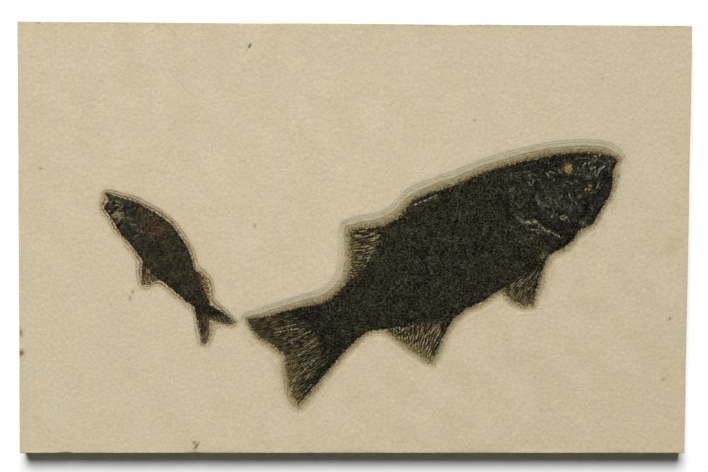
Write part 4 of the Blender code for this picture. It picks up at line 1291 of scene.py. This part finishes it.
def bone_material(name, glint, gloss, grain_size, contrast):
    """Dark fossil bone: the mesh's tones, mottled by grains, with worn strokes, curls and specks
    that are partly painted glints of light.

    glint is the colour of worn bone and of the painted glints, and gloss the lowest roughness. The
    mottling and the worn and glinting marks are calmer where the mesh says so, and cracks show on
    the head alone.
    """
    made, tree, shader = new_material(name)
    tone = attribute(tree, "tone", "Color")
    lined, calm = attribute(tree, "lined"), attribute(tree, "calm")
    grain = noise(tree, grain_size, 2, rough=0.6)
    grain = ranged(tree, grain, 0.39, 0.61, 1 - contrast, 1 + contrast)
    cloud = ranged(tree, noise(tree, 5, 3), 0.3, 0.7, 0.86, 1.14)
    value = minus(tree, times(tree, grain, cloud), 1.0)
    value = plus(tree, times(tree, value, minus(tree, 1.0, calm)), 1.0)
    colour = shaded(tree, tone, value)
    strokes = []
    for k, angle in enumerate((20, 75, -40)):
        thin = ranged(tree, turned_noise(tree, 0.6, angle, 3.2), 0.6, 0.65)
        here = plus(tree, noise(tree, 5 + k, 1), times(tree, lined, 0.05))
        strokes.append(times(tree, thin, ranged(tree, here, 0.48, 0.54)))
    lines = larger(tree, larger(tree, *strokes[:2]), strokes[2])
    here = ranged(tree, noise(tree, 2.2, 1), 0.5, 0.58)
    curl = times(tree, thread(tree, noise(tree, 3.4, 2), 0.022), here)
    here = ranged(tree, noise(tree, 2.8, 1), 0.47, 0.53)
    crack = times(tree, thread(tree, noise(tree, 2.3, 2, (1.0, 1.6, 1.0)), 0.03), here)
    curl = larger(tree, curl, times(tree, crack, lined))
    specks = ranged(tree, noise(tree, 0.6, 1), 0.64, 0.7)
    # worn marks and painted glints: the strokes, curls and specks are mixed towards the glint
    # colour
    wear_and_glints = larger(tree, larger(tree, lines, curl), specks)
    share = plus(tree, times(tree, lined, 0.04), times(tree, calm, -0.5))
    share = times(tree, wear_and_glints, plus(tree, share, 0.62))
    colour = mixed(tree, share, colour, glint)
    rise = plus(tree, noise(tree, 0.9, 3), times(tree, wear_and_glints, 0.35))
    rise = times(tree, rise, ranged(tree, lined, 0.0, 1.0, 1.0, 0.6))
    reliefs = [(noise(tree, 2.4, 2), 0.7, 0.0016), (rise, 0.65, 0.0007)]
    finish_shader(tree, shader, colour, (1.4, gloss, gloss + 0.2), 0.02, reliefs)
    return made


def as_light(tone):
    """Display colours as linear light, held off pure black and white, one row for each point."""
    return linear(np.clip(tone, 3, 250)).reshape(-1, 3)


def body_tone(x, y, gap, base, head, streaks, eye, seed):
    """Colour of a body in linear light, and how calm its grain is.

    The base is clouded, laid in long planes on the head, and browner at the ragged edge, with the
    streaks and the eye over it. The grain is calmer on the head and under streaks.
    """
    cloud = 0.08 * wander(x, y, 13, seed) + 0.10 * wander(x, y, 3.5, seed + 1)
    cloud = cloud + 0.10 * wander(x, y, 1.6, seed + 7, 24)
    hue = 0.02 * wander(x, y, 7, seed + 8)[..., None] * (1.0, 0.1, -1.0)
    across, along = 0.77 * x - 0.64 * y, 0.64 * x + 0.77 * y
    planes = 0.36 * wander(across / 3.0, along / 9, 1.0, seed + 9)
    planes = head * (planes + 0.14 * wander(x, y, 4, seed + 10))
    tone = base * (1 + cloud + planes)[..., None] + base * hue
    speckle = wander(x, y, 1.2, seed + 2, 24)
    rim = np.exp(-(gap**2)) * smooth_step(speckle + 0.25, 0.0, 0.8)
    tone = blended(tone, BODY_RIM, 0.45 * rim)
    line = np.exp(-(((gap - 0.9) / 0.5) ** 2)) * smooth_step(-speckle + 0.3, 0.0, 0.8)
    tone = tone * (1 - 0.4 * line[..., None])
    tone, covered = streaked(tone, x, y, streaks, seed + 3)
    calm = np.maximum(0.6 * head, covered)
    uneven = 1 + 0.16 * wander(x, y, 2.0, seed + 5)
    broken = np.clip(0.84 + 0.3 * wander(x, y, 1.2, seed + 6), 0, 1)
    for (ex, ey), (half_wide, half_high), strength, colour in eye:
        r = np.hypot((x - ex) / half_wide, (y - ey) / half_high) * uneven
        hit = strength * (1 - smooth_step(r, 0.8, 1.15)) * broken
        tone = blended(tone, colour, hit)
        calm = np.maximum(calm, 0.75 * hit)
    return as_light(tone), calm.ravel()


large_bone = bone_material("fossil_bone_dark", LARGE_GLINT, 0.42, 1.0, 0.94)
plan, gap, z = body_surface(LARGE_BODY, LARGE_HALO, LARGE_SETTLE, LARGE_BONES, 150, 0, 70)
x, y = plan[..., 0], plan[..., 1]
head = smooth_step(x + 0.35 * y, 108, 122)
base = np.array(LARGE_BONE) * (1 - head[..., None]) + np.array(LARGE_HEAD_BONE) * head[..., None]
streaks = hair_lines(LARGE_HAIR_AREAS, 9) + LARGE_STREAKS
tone, calm = body_tone(x, y, gap, base, head, streaks, LARGE_EYE, 80)
shares = {"tone": tone, "lined": head.ravel(), "calm": calm}
large_body = closed_relief("large_fish_body", plan, z, shares, large_bone)
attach(large_body, "root")
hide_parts("large_fish")

# -------------------------------------------------------------------------------------------------
# The large fish's fins: the second dorsal, the anal, the pelvic and the tail's two lobes. Each is a
# thin fan of bony rays, of the same dark bone, that lies on the worked rock and runs in under the
# body's edge.

FIN_ROOT = 2.6  # how far a fin runs in under the body
TAIL_ROOT, TAIL_REACH = 8.0, 40  # and a tail of this reach under the body's thin end
FIN_LIFT, RAY_RISE, STROKE_RISE = 0.3, 0.2, 0.07  # how far the web, its rays and strokes stand up
FIN_RIM = (104, 92, 62)  # crumbs of pale rock along a fin's edge
LARGE_FIN_STEP, LARGE_FIN_OVERLAP = 0.29, 0.4  # spacing of the points, and lap over the rock
# How many rays a fin has; how far its solid dark root runs and its dark leading edge reaches, as
# shares of the fan; and its dark, middle, pale and margin tones
LARGE_FIN_LOOKS = {
    "second_dorsal": (9, 0.04, 0.06, (26, 23, 13), (78, 69, 43), (160, 147, 107), (90, 80, 50)),
    "anal": (10, 0.06, 0.14, (27, 24, 14), (86, 76, 47), (168, 154, 112), (112, 101, 66)),
    "pelvic": (6, 0.2, 0.2, (24, 21, 13), (62, 55, 34), (152, 139, 100), (88, 78, 48)),
    "tail_upper": (11, 0.3, 0.2, (25, 23, 15), (57, 50, 31), (108, 97, 68), (64, 56, 36)),
    "tail_lower": (11, 0.3, 0.26, (25, 23, 15), (58, 51, 33), (118, 106, 74), (92, 82, 51)),
}


def fin_surface(body, fin, look, halo, streaks, step, overlap, seed):
    """A fin as a grid (across, along): rays that rise as cos^2 ridges and fork towards the tips.

    Plan: the fan, run in under the body at the roots and out a little past its outline, frayed at
    the tips. Height: the layer it lies on, a quick ragged rise from the free edges, and the rays,
    which sink at the tips. Colour: strokes drawn out along the rays, dark, middle and pale by a
    noise of (across, along) in millimetres, solid dark at the root and the leading edge, and a
    speckled margin.
    """
    rays, solid_to, lead_to, dark, middle, pale, margin_tone = look
    is_tail = "side" not in fin
    fin = {**fin, "root": fin["inner"]} if "inner" in fin else fin
    share = np.linspace(0, 1, 60)
    tips, roots = fin_plan(body, fin, share, share * 0 + 1), fin_plan(body, fin, share, share * 0)
    reach = np.linalg.norm(tips - roots, axis=1).max()
    spread = np.linalg.norm(np.diff(tips, axis=0), axis=1).sum()
    across = np.linspace(0, 1, max(rays * 10, round(spread / step)) + 1)
    hidden = TAIL_ROOT * min(1.0, reach / TAIL_REACH) if is_tail else FIN_ROOT
    under, free = np.linspace(-hidden / reach, 0, 7), np.linspace(0, 1, round(reach / step) + 1)
    a, b = np.meshgrid(across, np.concatenate([under[:-1], free]), indexing="ij")
    plan = fin_plan(body, fin, a, b)
    side, out = unit(np.gradient(plan, axis=0)), unit(np.gradient(plan, axis=1))
    frayed = np.clip(1 + wander(plan[..., 0], plan[..., 1], 1.5, seed + 5, 24), -0.2, 2.2)
    sideways = smooth_step(b, 0.0, 0.15) * (np.exp(-(1 - a) / 0.02) - np.exp(-a / 0.02))
    outwards = np.exp(-(1 - b) / 0.02)
    lap = sideways[..., None] * side + outwards[..., None] * out
    plan = plan + frayed[..., None] * overlap * lap
    x, y = plan[..., 0], plan[..., 1]
    width = np.linalg.norm(plan[-1] - plan[0], axis=-1)[None]
    gap = np.minimum(a * width, np.maximum(1 - b, 0) * reach)
    if not is_tail:
        gap = np.minimum(gap, (1 - a) * width)
    fork = smooth_step(b, 0.3, 0.6)
    phase = a * rays + 0.1 * wander(x, y, 6, seed) * smooth_step(a, 0.0, 0.2)
    ray = np.cos(np.pi * phase) ** 2 * (1 - fork) + np.cos(2 * np.pi * phase) ** 2 * fork
    grain = 0.06 * wander(x, y, 1.2, seed + 1, 24) + 0.05 * wander(x, y, 3, seed + 2)
    coarse = wander(a * spread / 1.2, b * reach / 11, 1.0, seed + 3, 30)
    slender = wander(a * spread, b * reach / 8, 1.0, seed + 6, 30)
    drawn = coarse * (1 - fork) + slender * fork
    fine = wander(x, y, 1.0, seed + 4, 24)
    z = bed_height(halo) + FIN_LIFT * eased(gap, 0.6) + grain
    relief = RAY_RISE * ray + STROKE_RISE * drawn - 0.04
    z = z + relief * (1 - np.clip(b, 0, 1) ** 3) * eased(gap, 0.8)
    solid = smooth_step(b + 0.04 * drawn, solid_to - 0.06, solid_to + 0.2)
    lead = smooth_step(a + 0.02 * drawn, lead_to * 0.5, lead_to)
    lead = lead + (1 - lead) * smooth_step(b, 0.8, 0.95)
    open_web = solid * (0.1 + 0.9 * lead)
    shown = smooth_step(drawn + 0.5 * fine, -0.7, 0.4) * open_web
    tone = blended(np.array(dark, float), middle, shown)
    stroke = drawn + 0.25 * fine - 0.4 * (ray - 0.5)
    tone = blended(tone, pale, 0.9 * smooth_step(stroke, 0.8, 1.1) * open_web)
    margin = smooth_step(b + 0.05 * fine, 0.75, 0.98) * np.clip(0.3 + lead, 0, 1)
    speckled = np.array(margin_tone) * (1 + 0.25 * fine + 0.2 * drawn)[..., None]
    tone = blended(tone, speckled, 0.8 * margin)
    rim = np.exp(-((gap / 0.7) ** 2)) * smooth_step(fine + 0.3, 0.0, 0.8) * smooth_step(b, 0.0, 0.1)
    tone = blended(tone, FIN_RIM, 0.4 * rim)
    tone, covered = streaked(tone, x, y, streaks, seed + 7)
    calm = np.maximum(0.75 * open_web, covered).ravel()
    return plan, z, {"tone": as_light(tone), "calm": calm}


for number, (fin_name, look) in enumerate(LARGE_FIN_LOOKS.items()):
    made_for = (LARGE_BODY, LARGE_FINS[fin_name], look, LARGE_HALO, LARGE_STREAKS)
    seed = 100 + 10 * number
    plan, z, shares = fin_surface(*made_for, LARGE_FIN_STEP, LARGE_FIN_OVERLAP, seed)
    fan = closed_relief("large_fish_" + fin_name, plan, z, shares, large_bone)
    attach(fan, "root")

# -------------------------------------------------------------------------------------------------
# The small fish's body: the same fossil bone, thinner and browner, so the rock's warm colour shows
# through its belly. It lies in a shallower ring, with its own eye, open jaw and gill cover.

SMALL_SETTLE = {
    "edge_lift": 0.4,
    "rise": 0.55,
    "crown": 0.28,
    "shoulder": 2.4,
    "overlap": 0.28,
    "tail_fade": 4.0,
    "steps": (0.3, 0.36),
}
SMALL_BONE = (44, 40, 27)
# the colour of worn bone and of the painted glints of light on it
SMALL_GLINT = (94, 86, 66)
# The jaw, the gill cover and the cheek
SMALL_BONES = [
    ([(-138, 9), (-132.6, 12), (-130.6, 16), (-132.4, 20)], 0.7, 0.2),
    ([(-141, 11.4), (-138, 14.6), (-137.4, 18), (-140, 21.6)], 0.6, 0.2),
    ([(-146.2, 16), (-142.6, 17.6), (-139.8, 15.6), (-140.4, 12)], 0.5, 0.16),
    ([(-148.4, 24.6), (-144.6, 22.4), (-141.4, 19.6)], 0.6, 0.2),
]
SMALL_STREAKS = [
    ((98, 66, 44), 3.4, 0.5, [[(-126.4, 10), (-121.6, 7), (-117.6, 3)]]),
    (PURPLE, 1.5, 0.5, [[(-144.9, 24), (-142.4, 22.6)], [(-138.6, 21.2), (-135.4, 19.6)]]),
    ((26, 31, 30), 2.4, 0.65, [[(-137, 19.5), (-133.5, 15), (-130, 10)], [(-135.4, 6.5)]]),
    (DARK, 0.7, 0.7, [[(-147, 21.5), (-144, 19.6)], [(-138.2, 16.4), (-137.4, 12)],
        [(-141, 9.6), (-138.6, 8.4)]]),
    ((52, 54, 36), 1.8, 0.5, [[(-135.6, 11.2), (-130.4, 9.6)]]),
    ((60, 42, 24), 0.6, 0.7, [[(-149.9, 18.2), (-145.9, 18.2)], [(-145.1, 10.7), (-143.4, 10.7)],
        [(-127.4, -22), (-127.8, -26), (-127.2, -28)]]),
    (BRIGHT, 0.42, 0.65, [[(-145.1, 16.4)], [(-142.4, 16.4)], [(-147.9, 15.7), (-146.6, 15.7)],
        [(-143.9, 19), (-141.4, 19)]]),
    (BRIGHT, 0.42, 0.55, [[(-143.1, 21.7)], [(-146.4, 20.7)], [(-148.4, 24.2), (-147.4, 21.2)],
        [(-136.7, 12)], [(-138.4, 8.5)]]),
    (WORN, 0.42, 0.55, [[(-134.4, 7.5), (-131.4, 7.5)], [(-128.6, 16.7), (-128.2, 14.2)],
        [(-125.9, 13)], [(-122.9, 0.3)]]),
    (WORN, 0.42, 0.5, [[(-135.2, 2)], [(-125.4, 1.9)], [(-133, 15.4), (-131.8, 17.6)],
        [(-109.4, -9.8)], [(-103.2, -21)]]),
    ((140, 96, 56), 0.32, 0.5, [[(-114.3, 6.4), (-116.8, 4.7)], [(-114.3, 5.1), (-118.5, 2.8)],
        [(-116, 2.8)]]),
    (BRIGHT, 0.45, 0.5, [[(-124.3, -17.8)], [(-123, -18.6)], [(-123.4, -20), (-123.4, -22.4)],
        [(-124.7, -22.8)], [(-123, -24), (-123, -26)]]),
    (TAN, 0.5, 0.5, [[(-120.3, -22)], [(-90.6, -26.5), (-89, -28)], [(-89.4, -33), (-88.2, -34.6)],
        [(-91, -46), (-90.6, -50)]]),
    (CREAM, 0.45, 0.4, [[(-134.4, -5.4)], [(-132.5, -7.4)], [(-116, -27.6)], [(-101, -6.2)],
        [(-96.4, -16.8)]]),
]
SMALL_HAIR_AREAS = [
    (-139, 16, 8, 7, 120, 45, 44),
    (-130, 6, 9, 8, 150, 40, 20),
    (-124, 2, 8, 8, 30, 20, 12),
]
# The eye's pale patch, its ball and its pupil
SMALL_EYE = [
    ((-142.4, 13.3), (3.3, 1.9), 0.85, (160, 144, 100)),
    ((-140.1, 13.2), (1.35, 1.35), 0.8, (140, 112, 70)),
    ((-140.1, 13.2), (0.75, 0.75), 0.9, (34, 34, 22)),
]

small_bone = bone_material("fossil_bone_brown", SMALL_GLINT, 0.46, 0.75, 0.78)
plan, gap, z = body_surface(SMALL_BODY, SMALL_HALO, SMALL_SETTLE, SMALL_BONES, 72, 3, 170)
x, y = plan[..., 0], plan[..., 1]
head = smooth_step(y - x, 136, 146)
base = np.array(SMALL_BONE, float)
streaks = hair_lines(SMALL_HAIR_AREAS, 19) + SMALL_STREAKS
tone, calm = body_tone(x, y, gap, base, head, streaks, SMALL_EYE, 180)
shares = {"tone": tone, "lined": head.ravel(), "calm": calm}
small_body = closed_relief("small_fish_body", plan, z, shares, small_bone)
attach(small_body, "root")
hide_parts("small_fish")

# -------------------------------------------------------------------------------------------------
# The small fish's fins: the dorsal, the anal and the tail's two lobes, fans of the same brown bone
# that lie on the worked rock, with some of its colour between their rays.

SMALL_FIN_STEP, SMALL_FIN_OVERLAP = 0.28, 0.28
SMALL_FIN_LOOKS = {
    "dorsal": (6, 0.1, 0.1, (42, 34, 22), (96, 81, 54), (150, 134, 96), (118, 103, 72)),
    "anal": (5, 0.05, 0.06, (62, 48, 28), (120, 98, 62), (176, 154, 108), (156, 138, 98)),
    "tail_upper": (5, 0.35, 0.2, (32, 27, 17), (66, 56, 36), (120, 106, 74), (100, 88, 60)),
    "tail_lower": (5, 0.5, 0.2, (34, 30, 20), (68, 60, 42), (128, 116, 84), (104, 93, 66)),
}

for number, (fin_name, look) in enumerate(SMALL_FIN_LOOKS.items()):
    made_for = (SMALL_BODY, SMALL_FINS[fin_name], look, SMALL_HALO, SMALL_STREAKS)
    seed = 200 + 10 * number
    plan, z, shares = fin_surface(*made_for, SMALL_FIN_STEP, SMALL_FIN_OVERLAP, seed)
    fan = closed_relief("small_fish_" + fin_name, plan, z, shares, small_bone)
    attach(fan, "root")

# -------------------------------------------------------------------------------------------------
# The stage: a white floor under the slab, a broad soft light from above its top edge, a dim even
# fill, and a camera that looks straight down on it through a long lens.

FLOOR_SIZE, FLOOR_DROP = 6.0, 0.0002  # in metres; the floor lies just below the slab's back
FLOOR_LOOK = {"Base Color": (0.96, 0.96, 0.96, 1), "Roughness": 0.9, "Specular IOR Level": 0.1}
FILL_LOOK = {"Color": (1, 1, 1, 1), "Strength": 0.055}
KEY_STRENGTH = 3.8
KEY_ELEVATION, KEY_BEARING, KEY_WIDTH = 54, 5, 30  # degrees above the face, left of the top, across
CAMERA_PLACE = (-0.0005, 0.0007, 1.018)
LENS_MM, SENSOR_MM = 85, 36

half = FLOOR_SIZE / 2
corners = [(-half, -half), (half, -half), (half, half), (-half, half)]
floor_mesh = bpy.data.meshes.new("floor")
floor_mesh.from_pydata([(*corner, -FLOOR_DROP) for corner in corners], [], [(0, 1, 2, 3)])
floor = bpy.data.objects.new("floor", floor_mesh)
bpy.context.scene.collection.objects.link(floor)
white, _, shader = new_material("white_floor")
for name, value in FLOOR_LOOK.items():
    shader.inputs[name].default_value = value
floor_mesh.materials.append(white)

world = bpy.data.worlds.new("studio")
world.use_nodes = True
for name, value in FILL_LOOK.items():
    world.node_tree.nodes["Background"].inputs[name].default_value = value
bpy.context.scene.world = world
key = bpy.data.lights.new("key", "SUN")
key.energy = KEY_STRENGTH
key.angle = np.radians(KEY_WIDTH)
key_light = bpy.data.objects.new("key", key)
key_light.rotation_euler = (np.radians(KEY_ELEVATION - 90), 0, np.radians(KEY_BEARING))
bpy.context.scene.collection.objects.link(key_light)

camera = bpy.data.cameras.new("camera")
camera.lens, camera.sensor_width = LENS_MM, SENSOR_MM
camera.clip_start, camera.clip_end = 0.05, 20
view = bpy.data.objects.new("camera", camera)
view.location = CAMERA_PLACE
bpy.context.scene.collection.objects.link(view)
bpy.context.scene.camera = view
bpy.context.scene.view_settings.view_transform = "Standard"
bpy.context.scene.view_settings.look = "None"
